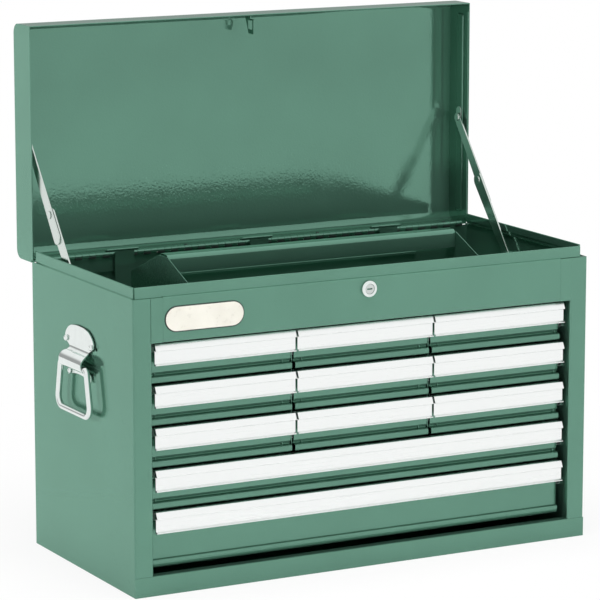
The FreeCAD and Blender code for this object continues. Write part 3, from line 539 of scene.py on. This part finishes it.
def spun(bm, centre, profile, steps):
    """A turned piece about an axis along Y through centre (x, z); profile holds (y, radius)."""
    rings = []
    for y, radius in profile:
        ring = []
        for k in range(steps):
            angle = 2 * math.pi * k / steps
            ring.append(bm.verts.new(((centre[0] + radius * math.cos(angle)) * MM, y * MM,
                                      (centre[1] + radius * math.sin(angle)) * MM)))
        rings.append(ring)
    skin(bm, rings)


# Geometry node trees

def tree_with(name, inputs):
    """An empty geometry tree with a geometry input, named inputs and a geometry output."""
    tree = bpy.data.node_groups.new(name, "GeometryNodeTree")
    tree.interface.new_socket("Geometry", in_out="INPUT", socket_type="NodeSocketGeometry")
    for label, kind in inputs:
        tree.interface.new_socket(label, in_out="INPUT", socket_type=kind)
    tree.interface.new_socket("Geometry", in_out="OUTPUT", socket_type="NodeSocketGeometry")
    start = tree.nodes.new("NodeGroupInput")
    end = tree.nodes.new("NodeGroupOutput")
    return tree, start, end


def closing(tree, start, end, result):
    """The end of every tree: real geometry with the given material."""
    real = tree.nodes.new("GeometryNodeRealizeInstances")
    paint = tree.nodes.new("GeometryNodeSetMaterial")
    tree.links.new(result, real.inputs["Geometry"])
    tree.links.new(real.outputs["Geometry"], paint.inputs["Geometry"])
    tree.links.new(start.outputs["Material"], paint.inputs["Material"])
    tree.links.new(paint.outputs["Geometry"], end.inputs["Geometry"])
    return tree


def give(piece, tree, values):
    """Adds a tree as a modifier and sets its named inputs by their identifiers."""
    modifier = piece.modifiers.new(tree.name, "NODES")
    modifier.node_group = tree
    for item in tree.interface.items_tree:
        if item.item_type == "SOCKET" and item.in_out == "INPUT" and item.name in values:
            modifier[item.identifier] = values[item.name]
    return modifier


def bar_tree():
    """Pushes a flat section from Left to Right along X, closed at both ends."""
    tree, start, end = tree_with("bar_between", [("Left", "NodeSocketFloat"), ("Right", "NodeSocketFloat"),
                                                 ("Material", "NodeSocketMaterial")])
    add = tree.nodes.new
    link = tree.links.new
    line = add("GeometryNodeCurvePrimitiveLine")
    ends = []
    for label in ("Left", "Right"):
        point = add("ShaderNodeCombineXYZ")
        link(start.outputs[label], point.inputs["X"])
        ends.append(point)
    link(ends[0].outputs[0], line.inputs["Start"])
    link(ends[1].outputs[0], line.inputs["End"])
    sweep = add("GeometryNodeCurveToMesh")
    sweep.inputs["Fill Caps"].default_value = True
    link(line.outputs["Curve"], sweep.inputs["Curve"])
    link(start.outputs["Geometry"], sweep.inputs["Profile Curve"])
    return closing(tree, start, end, sweep.outputs["Mesh"])


def wire_tree():
    """Round wire along a path."""
    tree, start, end = tree_with("round_wire", [("Radius", "NodeSocketFloat"), ("Sides", "NodeSocketInt"),
                                                ("Material", "NodeSocketMaterial")])
    add = tree.nodes.new
    link = tree.links.new
    ring = add("GeometryNodeCurvePrimitiveCircle")
    link(start.outputs["Radius"], ring.inputs["Radius"])
    link(start.outputs["Sides"], ring.inputs["Resolution"])
    sweep = add("GeometryNodeCurveToMesh")
    sweep.inputs["Fill Caps"].default_value = True
    link(start.outputs["Geometry"], sweep.inputs["Curve"])
    link(ring.outputs["Curve"], sweep.inputs["Profile Curve"])
    return closing(tree, start, end, sweep.outputs["Mesh"])


def knuckle_tree():
    """Rolled hinge knuckles in a row, each with the neck that joins it to its leaf."""
    tree, start, end = tree_with("hinge_knuckles", [
        ("First", "NodeSocketVector"), ("Pitch", "NodeSocketFloat"), ("Count", "NodeSocketInt"),
        ("Length", "NodeSocketFloat"), ("Radius", "NodeSocketFloat"), ("Neck Size", "NodeSocketVector"),
        ("Neck Place", "NodeSocketVector"), ("Material", "NodeSocketMaterial")])
    add = tree.nodes.new
    link = tree.links.new
    row = add("GeometryNodeMeshLine")
    pitch = add("ShaderNodeCombineXYZ")
    link(start.outputs["Pitch"], pitch.inputs["X"])
    link(start.outputs["Count"], row.inputs["Count"])
    link(start.outputs["First"], row.inputs["Start Location"])
    link(pitch.outputs[0], row.inputs["Offset"])
    roll = add("GeometryNodeMeshCylinder")
    roll.inputs["Vertices"].default_value = 20
    link(start.outputs["Radius"], roll.inputs["Radius"])
    link(start.outputs["Length"], roll.inputs["Depth"])
    lay = add("GeometryNodeTransform")
    lay.inputs["Rotation"].default_value = (0, math.pi / 2, 0)
    link(roll.outputs["Mesh"], lay.inputs["Geometry"])
    neck = add("GeometryNodeMeshCube")
    link(start.outputs["Neck Size"], neck.inputs["Size"])
    seat = add("GeometryNodeTransform")
    link(neck.outputs["Mesh"], seat.inputs["Geometry"])
    link(start.outputs["Neck Place"], seat.inputs["Translation"])
    both = add("GeometryNodeJoinGeometry")
    link(lay.outputs["Geometry"], both.inputs["Geometry"])
    link(seat.outputs["Geometry"], both.inputs["Geometry"])
    spread = add("GeometryNodeInstanceOnPoints")
    link(row.outputs["Mesh"], spread.inputs["Points"])
    link(both.outputs["Geometry"], spread.inputs["Instance"])
    return closing(tree, start, end, spread.outputs["Instances"])


def stud_tree():
    """Low domed heads on the given points, turned to face along a direction."""
    tree, start, end = tree_with("stud_heads", [
        ("Radius", "NodeSocketFloat"), ("Height", "NodeSocketFloat"), ("Crown", "NodeSocketFloat"),
        ("Turn", "NodeSocketRotation"), ("Material", "NodeSocketMaterial")])
    add = tree.nodes.new
    link = tree.links.new
    head = add("GeometryNodeMeshCone")
    head.inputs["Vertices"].default_value = 24
    link(start.outputs["Crown"], head.inputs["Radius Top"])
    link(start.outputs["Radius"], head.inputs["Radius Bottom"])
    link(start.outputs["Height"], head.inputs["Depth"])
    spread = add("GeometryNodeInstanceOnPoints")
    link(start.outputs["Geometry"], spread.inputs["Points"])
    link(head.outputs["Mesh"], spread.inputs["Instance"])
    link(start.outputs["Turn"], spread.inputs["Rotation"])
    return closing(tree, start, end, spread.outputs["Instances"])


bars = bar_tree()
wires = wire_tree()
knuckles = knuckle_tree()
studs = stud_tree()


def curve_object(name, points, cyclic):
    """A path of straight runs through points in metres."""
    data = bpy.data.curves.new(name, "CURVE")
    data.dimensions = "3D"
    run = data.splines.new("POLY")
    run.points.add(len(points) - 1)
    for slot, point in zip(run.points, points):
        slot.co = (*point, 1)
    run.use_cyclic_u = cyclic
    piece = bpy.data.objects.new(name, data)
    bpy.context.scene.collection.objects.link(piece)
    return piece


def bar(name, outline, left, right, material):
    """A mesh bar along X with the given section (y, z) in millimetres."""
    section = curve_object(name, [(-y * MM, -z * MM, 0) for y, z in outline], True)
    give(section, bars, {"Left": left * MM, "Right": right * MM, "Material": material})
    return baked(section)


def merged(name, pieces, material):
    """Several pieces made one mesh."""
    bm = bmesh.new()
    for piece in pieces:
        bm.from_mesh(piece.data)
        bpy.data.objects.remove(piece)
    mesh = mesh_of(bm, name)
    mesh.materials.append(material)
    return mesh


# Drawers

def pull_section(top):
    """Section of the extruded pull, with its eased ridge and lip."""
    top -= 0.6
    face = FRONT_PLANE - 11.5
    lip = face - 3.6
    ridge = top - 8.8
    foot = top - 27.1
    return rounded([
        (FRONT_PLANE, top - 12.0),
        (FRONT_PLANE, top - 1.6),
        (FRONT_PLANE + 1.0, top - 1.6),
        (FRONT_PLANE + 1.0, top, 0.5),
        (face, top, 0.9),
        (lip, ridge + 1.2, 0.6),
        (lip, ridge, 0.4),
        (face + 0.9, ridge + 0.2),
        (face + 0.9, ridge - 1.0),
        (face, ridge - 1.1, 0.2),
        (face, foot + 2.4, 0.6),
        (lip, foot + 1.2, 0.6),
        (lip, foot, 0.5),
        (face + 1.3, foot, 0.3),
        (face + 1.3, top - 1.3),
        (FRONT_PLANE - 1.3, top - 1.3),
        (FRONT_PLANE - 1.3, top - 12.0),
    ], 3)


def front_section(top, tall):
    """Section of the drawer front: face, groove and rolled foot."""
    low = top - PULL_TO_GROOVE[tall]
    roll = FRONT_PLANE - 4.4
    if tall:
        path = [(roll + 8.0, low - 11.8), (roll, low - 11.8, 5.4), (roll, low - 0.5, 1.2)]
    else:
        path = [(roll + 4.0, low - 9.2), (roll, low - 9.2, 1.6), (roll, low - 0.5, 1.8)]
    if tall:
        path.append((FRONT_PLANE, low - 0.5, 0.6))
    else:
        path.append((FRONT_PLANE + GROOVE[tall], low, 0.6))
        path.append((FRONT_PLANE, low + 4.5, 0.6))
    path.append((FRONT_PLANE, top - 1.6))
    return rounded(folded(path, SHEET), 4)


def drawer(name):
    """One drawer: aluminium pull, shaped front and folded box."""
    body = "drawer_" + name
    low, high = (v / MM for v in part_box(body + "_pull"))
    tall = name == "bottom"
    top = high.z
    pull = bar(body + "_pull_bar", pull_section(top), low.x, high.x, finishes["pull_aluminium"])
    shade(pull.data, 30)
    attach(pull, body, [body + "_pull"])
    runner_low, runner_high = (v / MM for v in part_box(body + "_runners"))
    x0, x1 = runner_low.x + 10.0, runner_high.x - 10.0
    floor = top - PULL_TO_FLOOR[tall]
    upper = top - 7.0
    inside = FRONT_PLANE + GROOVE[tall] + SHEET
    left = low.x + (-1.2 if low.x < -250 else 0.8)
    front = bar(body + "_front", front_section(top, tall), left, high.x - 0.8, finishes["drawer_paint"])
    bm = bmesh.new()
    board(bm, (x0, x1), (FRONT_PLANE + 1.0, DRAWER_BACK), (floor, floor + SHEET))
    for side in ((x0, x0 + SHEET), (x1 - SHEET, x1)):
        board(bm, side, (FRONT_PLANE + 1.0, DRAWER_BACK), (floor, upper))
    for hem in ((x0, x0 + 2.2), (x1 - 2.2, x1)):
        board(bm, hem, (FRONT_PLANE + 3.0, DRAWER_BACK - SHEET), (upper - 7.0, upper))
    board(bm, (x0, x1), (DRAWER_BACK - SHEET, DRAWER_BACK), (floor, upper))
    apron_top = top - PULL_TO_GROOVE[tall] - SHEET
    if apron_top > floor:
        board(bm, (x0, x1), (inside, inside + SHEET), (floor, apron_top))
    edges = [x0]
    for x in LOCKING_BARS:
        if x0 < x < x1:
            edges += [x - 8.0, x + 8.0]
    edges.append(x1)
    flange = (upper - SHEET, upper)
    board(bm, (x0, x1), (DRAWER_BACK - SHEET, 136.0), flange)
    for a, b in zip(edges[::2], edges[1::2]):
        board(bm, (a, b), (136.0, 141.0), flange)
    tray = bpy.data.objects.new("box", mesh_of(bm, "box"))
    mesh = merged(body + "_sheet", [front, tray], finishes["drawer_paint"])
    box = piece_from(body + "_sheet", mesh, finishes["drawer_paint"], 0.25, 2)
    attach(box, body, [body + "_box"])


# Hinge

def opened(mesh):
    """Turns a mesh of the lid from closed to its open rest."""
    y, z = HINGE[0] * MM, HINGE[1] * MM
    turn = Matrix.Translation((0, y, z)) @ Matrix.Rotation(math.radians(-90), 4, "X") @ Matrix.Translation((0, -y, -z))
    mesh.transform(turn)


def press_tab(bm, middle):
    """Tongue that pushes a locking bar down: a rolled lip that thins toward both ends, lid closed."""
    rings = []
    for k in range(17):
        t = k / 8 - 1
        swell = math.sqrt(max(0.0, 1 - t ** 6)) * 0.8 + 0.2
        radius = 1.95 * swell
        section = [(153.4, 383.0), (153.4, 384.2), (147.6, 384.2)]
        for step in range(9):
            angle = math.pi / 2 + math.pi * 1.35 * step / 8
            section.append((146.5 + radius * math.cos(angle), 379.7 + radius * math.sin(angle)))
        section.append((148.0, 383.0))
        rings.append([bm.verts.new(((middle + 24.0 * t) * MM, y * MM, z * MM)) for y, z in section])
    skin(bm, rings)
    bm.faces.new(rings[0])
    bm.faces.new(rings[-1][::-1])


def hinge_leaf(name, first, up, leaf_y, leaf_z, body, stands_for, tabs):
    """A leaf of the piano hinge with its row of knuckles; up is +1 for the lid's leaf, drawn closed."""
    seed = bpy.data.objects.new(name + "_row", bpy.data.meshes.new(name + "_row"))
    bpy.context.scene.collection.objects.link(seed)
    y, z = HINGE
    near, far = (leaf_z[0] if up > 0 else leaf_z[1]), z
    neck_low, neck_high = sorted((near, far))
    neck_y = sum(leaf_y) / 2
    give(seed, knuckles, {
        "First": (first * MM, y * MM, z * MM), "Pitch": HINGE_PITCH * MM, "Count": HINGE_KNUCKLES,
        "Length": KNUCKLE * MM, "Radius": HINGE_RADIUS * MM,
        "Neck Size": (KNUCKLE * MM, (leaf_y[1] - leaf_y[0]) * MM, (neck_high - neck_low) * MM),
        "Neck Place": (0, (neck_y - y) * MM, ((neck_low + neck_high) / 2 - z) * MM),
        "Material": finishes["inner_paint"]})
    baked(seed)
    bm = bmesh.new()
    half = HINGE_PITCH * HINGE_KNUCKLES / 2
    board(bm, (-half, half), leaf_y, leaf_z)
    for x in tabs:
        press_tab(bm, x)
    leaf = bpy.data.objects.new("leaf", mesh_of(bm, "leaf"))
    mesh = merged(name, [seed, leaf], finishes["inner_paint"])
    if up > 0:
        opened(mesh)
    piece = piece_from(name, mesh, finishes["inner_paint"], 0.25, 2)
    attach(piece, body, [stands_for])


def painted_knuckle_shadows():
    """Painted shadow: dark lacquer boards fixed with the cabinet leaf under the lid's knuckles, where the gaps beneath
    them fall into shade.
    """
    bm = bmesh.new()
    for k in range(HINGE_KNUCKLES):
        x = LID_KNUCKLES + HINGE_PITCH * k
        slot = (x - KNUCKLE / 2, x + KNUCKLE / 2)
        board(bm, slot, (148.5, 149.2), (376.4, 378.5))
        board(bm, slot, (149.2, 151.3), (375.2, 376.8))
    # The dark lacquer boards are painted shade, standing in for the shadowed gaps under the knuckles.
    piece = piece_from("painted_knuckle_shadow", mesh_of(bm, "painted_knuckle_shadow"), border, 0.2, 1)
    attach(piece, "root")


def leaf_screws():
    """Dark screws that hold the hinge to the lid's rear wall."""
    mesh = bpy.data.meshes.new("places")
    mesh.from_pydata([(x * MM, 166.5 * MM, 379.4 * MM) for x in (-300, -100, 100, 300)], [], [])
    seed = bpy.data.objects.new("lid_leaf_screws", mesh)
    bpy.context.scene.collection.objects.link(seed)
    give(seed, studs, {"Radius": 3.6 * MM, "Height": 1.6 * MM, "Crown": 2.0 * MM, "Turn": (0, 0, 0),
                       "Material": border})
    baked(seed)
    shade(seed.data, 30)
    attach(seed, "lid")


# Carrying handles

def bail(side, sign):
    """Round wire bail hanging from its barrel."""
    top, foot, drop = 39.0, 51.0, 60.5
    outline = rounded([(top, HANDLE_Z, 6.0), (foot, HANDLE_Z - drop, 13.0),
                       (-foot, HANDLE_Z - drop, 13.0), (-top, HANDLE_Z, 6.0)], 8)
    path = curve_object("bail_%s_wire" % side, [(sign * BARRELS * MM, y * MM, z * MM) for y, z in outline], True)
    give(path, wires, {"Radius": BAIL_RADIUS * MM, "Sides": 20, "Material": finishes["chrome"]})
    wire = baked(path)
    shade(wire.data, 60)
    attach(wire, "bail_" + side, ["bail_" + side])


def handle_plate():
    """Pressed plates of both handles: domed lobe, neck, roll round the bail and arched foot."""
    rows = [  # z, half width, outer face off the panel, rise of the middle over the ends
        (319.0, 12.0, 2.9, 0.5), (317.6, 23.0, 3.0, 1.6), (315.4, 29.5, 3.0, 2.4), (312.4, 34.6, 3.0, 2.0),
        (309.0, 38.6, 3.0, 1.2), (305.4, 41.6, 3.0, 0.6), (302.0, 43.2, 3.0, 0), (298.6, 43.4, 3.0, 0),
        (296.2, 41.8, 3.0, 0), (294.0, 38.0, 3.0, 0), (292.0, 33.4, 3.0, 0), (290.2, 29.6, 3.1, 0),
        (288.6, 28.2, 3.7, 0), (287.0, 28.6, 5.2, 0), (285.6, 30.2, 7.8, 0), (284.2, 32.2, 10.8, 0),
        (282.2, 33.0, 13.4, 0), (279.4, 33.0, 15.7, 0), (276.0, 33.0, 16.9, 0), (272.0, 33.0, 17.2, 0),
        (268.4, 33.0, 16.5, 0), (265.8, 33.0, 14.6, 0), (264.2, 33.0, 11.8, 0), (263.2, 33.0, 8.6, 0),
        (262.2, 33.2, 5.6, 0), (261.0, 33.6, 3.8, 0.4), (259.4, 34.2, 3.1, 1.4), (257.0, 34.6, 3.0, 2.8),
        (254.2, 34.6, 3.0, 4.2), (251.6, 34.0, 3.0, 5.4)]
    bm = bmesh.new()
    for sign in (-1, 1):
        grid = []
        for z, half, off, rise in rows:
            line = []
            for k in range(25):
                t = k / 12 - 1
                lift = rise * (1 - t * t)
                line.append(bm.verts.new((sign * (HALF_WIDTH + off) * MM, half * t * MM, (z + lift) * MM)))
            grid.append(line)
        for one, two in zip(grid, grid[1:]):
            for k in range(24):
                loop = (one[k], one[k + 1], two[k + 1], two[k])
                bm.faces.new(loop if sign < 0 else loop[::-1])
    mesh = bpy.data.meshes.new("handle_plate_pressing")
    bm.to_mesh(mesh)
    bm.free()
    piece = piece_from("handle_plate_pressing", mesh, finishes["chrome"])
    wall = piece.modifiers.new("sheet", "SOLIDIFY")
    wall.thickness = 1.5 * MM
    wall.offset = -1.0
    ease = piece.modifiers.new("eased edges", "BEVEL")
    ease.width = 0.5 * MM
    ease.segments = 3
    ease.limit_method = "ANGLE"
    ease.angle_limit = math.radians(50)
    baked(piece)
    shade(piece.data, 40)
    attach(piece, "root", ["handle_plates"])


def screw_heads():
    """Round heads of the handle screws, on both sides."""
    parts = []
    for sign in (-1, 1):
        mesh = bpy.data.meshes.new("places")
        x = sign * (HALF_WIDTH + 4.0) * MM
        places = [(x, y * MM, z * MM) for y, z in ((-38, 298), (38, 298), (-28, 257.6), (28, 257.6))]
        mesh.from_pydata(places, [], [])
        seed = bpy.data.objects.new("heads", mesh)
        bpy.context.scene.collection.objects.link(seed)
        give(seed, studs, {"Radius": 4.4 * MM, "Height": 2.6 * MM, "Crown": 2.6 * MM,
                           "Turn": (0, sign * math.pi / 2, 0), "Material": finishes["chrome"]})
        parts.append(baked(seed))
    mesh = merged("handle_screw_heads", parts, finishes["chrome"])
    piece = piece_from("handle_screw_heads", mesh, finishes["chrome"], 0.9, 3, 30)
    attach(piece, "root", ["handle_screws"])


# Fixed front panel and lid

def front_panel():
    """Fixed panel above the drawers: rounded bend, step and hemmed rim, and the tabs at both ends."""
    material = finishes["cabinet_paint"]
    near, inner = FRONT + RIM_IN, FRONT + RIM_IN + SHEET
    hem, hem_low = inner + SHEET, RIM_HIGH - 9.0
    behind, flange = FRONT + SHEET, FRONT + 14.0
    rim = [(near, PANEL_HIGH + 1.2, 0.5), (near, RIM_HIGH, 0.95), (hem, RIM_HIGH, 0.95), (hem, hem_low),
           (inner, hem_low)]
    panel = [(FRONT, PANEL_LOW, 1.4), (FRONT, PANEL_HIGH, 1.6)] + rim + [
        (inner, PANEL_HIGH), (behind, PANEL_HIGH - SHEET), (behind, PANEL_LOW + SHEET),
        (flange, PANEL_LOW + SHEET), (flange, PANEL_LOW)]
    parts = [bar("panel", rounded(panel, 4), -PANEL_END, PANEL_END, material)]
    end = rounded([(near, PANEL_HIGH + 0.4)] + rim[1:] + [(inner, PANEL_HIGH + 0.4)], 4)
    parts.append(bar("rim_left", end, -326.4, -PANEL_END, material))
    parts.append(bar("rim_right", end, PANEL_END, 320.3, material))
    bm = bmesh.new()
    for x in (-PANEL_END - TAB / 2, PANEL_END + TAB / 2):
        board(bm, (x - TAB / 2, x + TAB / 2), (behind, behind + SHEET), (PANEL_LOW + SHEET, PANEL_HIGH - SHEET))
    parts.append(bpy.data.objects.new("tabs", mesh_of(bm, "tabs")))
    mesh = merged("front_panel", parts, material)
    piece = piece_from("front_panel", mesh, material, 0.2, 2)
    attach(piece, "root", ["front_header"])


def lid():
    """Lid, drawn closed and then opened: wrapped sheet with a hemmed mouth, caps and their ribs."""
    material = finishes["cabinet_paint"]
    back, low, high, bend = -FRONT, LID_LOW, LID_HIGH, LID_BEND
    wrap = rounded([
        (FRONT, low + 0.1, 0.5), (FRONT, high, bend), (back, high, bend), (back, 384.0), (back - SHEET, 384.0),
        (back - SHEET, high - SHEET, bend - SHEET), (FRONT + SHEET, high - SHEET, bend - SHEET),
        (FRONT + SHEET, low + 11.0),
        (FRONT + 2.2, low + 11.0, 0.4), (FRONT + 2.2, low + 1.6, 0.7), (FRONT + 1.1, low + 0.1, 0.4)], 8)
    parts = [bar("wrap", wrap, 0.5 - HALF_WIDTH, HALF_WIDTH - 0.5, material)]
    cap = rounded([(FRONT, low), (FRONT, high, bend), (back, high, bend), (back, 383.0), (HINGE[0], 383.0),
                   (HINGE[0], low)], 8)
    bm = bmesh.new()
    for sign in (-1, 1):
        plate(bm, cap, sign * (HALF_WIDTH - SHEET), sign * HALF_WIDTH)
        board(bm, sorted((sign * 327.7, sign * 329.0)), (FRONT + 12.0, 146.0), (low + 1.1, low + 8.0))
        rings = []
        for x, inset in ((329.0, 0.0), (328.2, 0.25), (327.5, 0.8), (327.1, 1.6), (327.0, 2.6)):
            y0, y1 = FRONT + 16.0 + inset, 138.5 - inset
            z0, z1 = 393.0 + inset, 409.5 - inset
            ring = rounded([(y0, z0, 4.0), (y0, z1, 4.0), (y1, z1, 4.0), (y1, z0, 4.0)], 4)
            rings.append([bm.verts.new((sign * x * MM, y * MM, z * MM)) for y, z in ring])
        skin(bm, rings)
        bm.faces.new(rings[-1])
        bm.faces.new(rings[0][::-1])
    parts.append(bpy.data.objects.new("caps", mesh_of(bm, "caps")))
    mesh = merged("lid_wrap", parts, material)
    opened(mesh)
    piece = piece_from("lid_wrap", mesh, material, 0.3, 2)
    attach(piece, "lid", ["lid_shell"])


def longer_rim(x, y, z):
    """The side rims run back to the lid's corner."""
    end, longer_end = 135.0, 148.0
    at_end = abs(y - end) < 0.6 and abs(x) < HALF_WIDTH - 1.1 and z > PANEL_HIGH - 1.5
    return x, (longer_end if at_end else y), z


def taller_rail(x, y, z):
    """The tray's folded rail with its crest a little higher."""
    rise = 3.2
    return x, y, z + (rise if z > RAIL_MIDDLE else 0)


# Lock and front plate

def lock():
    """Spun bezel and barrel of the lock, with its nut behind the sheet."""
    bm = bmesh.new()
    y = FRONT
    spun(bm, (0, LOCK_Z), [(y - 2.2, 6.6), (y - 4.0, 6.6), (y - 4.9, 6.9), (y - 5.2, 7.8), (y - 5.1, 9.2),
                           (y - 4.6, 10.2), (y - 3.6, 10.8), (y - 0.6, 11.3), (y, 11.0), (y, 9.5), (y + 14.0, 9.5),
                           (y + 14.0, 6.6), (y - 2.2, 6.6)], 48)
    spun(bm, (0, LOCK_Z), [(y + 2.0, 9.5), (y + 2.0, 11.8), (y + 6.0, 11.8), (y + 6.0, 9.5), (y + 2.0, 9.5)], 6)
    mesh = mesh_of(bm, "lock_bezel")
    piece = piece_from("lock_bezel", mesh, finishes["chrome"], 0, 2, 34)
    mesh.materials.append(finishes["lock_steel"])
    for face in mesh.polygons:
        if y - 4.0 < face.center.y / MM < y and abs(face.normal.y) < 0.5:
            face.material_index = 1
    attach(piece, "root", ["lock_body"])


def badge_plate():
    """Bare plate with a dark border on the fixed panel."""
    bm = bmesh.new()
    half, run, mid_x, mid_z = 16.5, 38.5, -232.0, 349.5
    for inset, depth, top in ((0.0, 0.0, 0.7), (1.3, 0.7, 1.0)):
        radius = half - inset
        ring = []
        for side, middle in ((1, mid_x + run), (-1, mid_x - run)):
            for k in range(17):
                angle = side * math.pi / 2 - math.pi * k / 16
                ring.append((middle + radius * math.cos(angle), mid_z + radius * math.sin(angle)))
        near = [bm.verts.new((x * MM, (FRONT - top) * MM, z * MM)) for x, z in ring]
        far = [bm.verts.new((x * MM, (FRONT - depth) * MM, z * MM)) for x, z in ring]
        bm.faces.new(near)
        bm.faces.new(far[::-1])
        skin(bm, (near, far))
    bmesh.ops.recalc_face_normals(bm, faces=bm.faces)
    mesh = bpy.data.meshes.new("front_plate")
    bm.to_mesh(mesh)
    bm.free()
    mesh.materials.append(border)
    mesh.materials.append(plate_finish)
    for face in mesh.polygons:
        if face.center.y < (FRONT - 0.69) * MM and len(face.vertices) > 8:
            face.material_index = 1 if face.center.y < (FRONT - 0.9) * MM else 0
    piece = piece_from("front_plate", mesh, None, 0.2, 2)
    attach(piece, "root")


camera()
room()
studio_floor()
lamp("low_front_softbox", (0.5, -4.0, 0.5), (0, 0, 0.35), 2.0, 0.9, 92.0)
lamp("overhead_softbox", (0, -0.3, 3.0), (0, -0.1, 0), 1.8, 1.8, 95.0)
lamp("left_softbox", (-2.6, 1.3, 0.6), (-0.33, 0, 0.25), 1.4, 0.8, 56.0)

for each in sorted(nodes):
    slot = slot_of_node[each]
    mesh = nodes[each].data
    mesh.materials.clear()
    mesh.materials.append(finishes[slot])

for each in ("side_panel_left", "side_panel_right"):
    sheet_copy(each, 0.35, settle=longer_rim)
for each in ("back_panel", "bottom_pan", "till_floor", "lid_catch", "tray_pan", "stay_brackets"):
    sheet_copy(each, 0.35)
sheet_copy("tray_handle", 0.35, settle=taller_rail)
for each in ("stay_lower_left", "stay_lower_right", "stay_upper_left", "stay_upper_right", "lock_plug"):
    sheet_copy(each, 0.3, 32)
for each in sorted(frame["bodies"]):
    if each.startswith("drawer_"):
        drawer(each[len("drawer_"):])
front_panel()
lid()
hinge_leaf("hinge_leaf_cabinet_rolled", LID_KNUCKLES - HINGE_PITCH / 2, -1, (151.3, 152.5), (356.0, 374.6),
           "root", "hinge_leaf_cabinet", ())
hinge_leaf("hinge_leaf_lid_rolled", LID_KNUCKLES, 1, (152.3, 153.5), (384.0, 399.5),
           "lid", "hinge_leaf_lid", LOCKING_BARS)
painted_knuckle_shadows()
leaf_screws()
bail("left", -1)
bail("right", 1)
handle_plate()
screw_heads()
lock()
badge_plate()
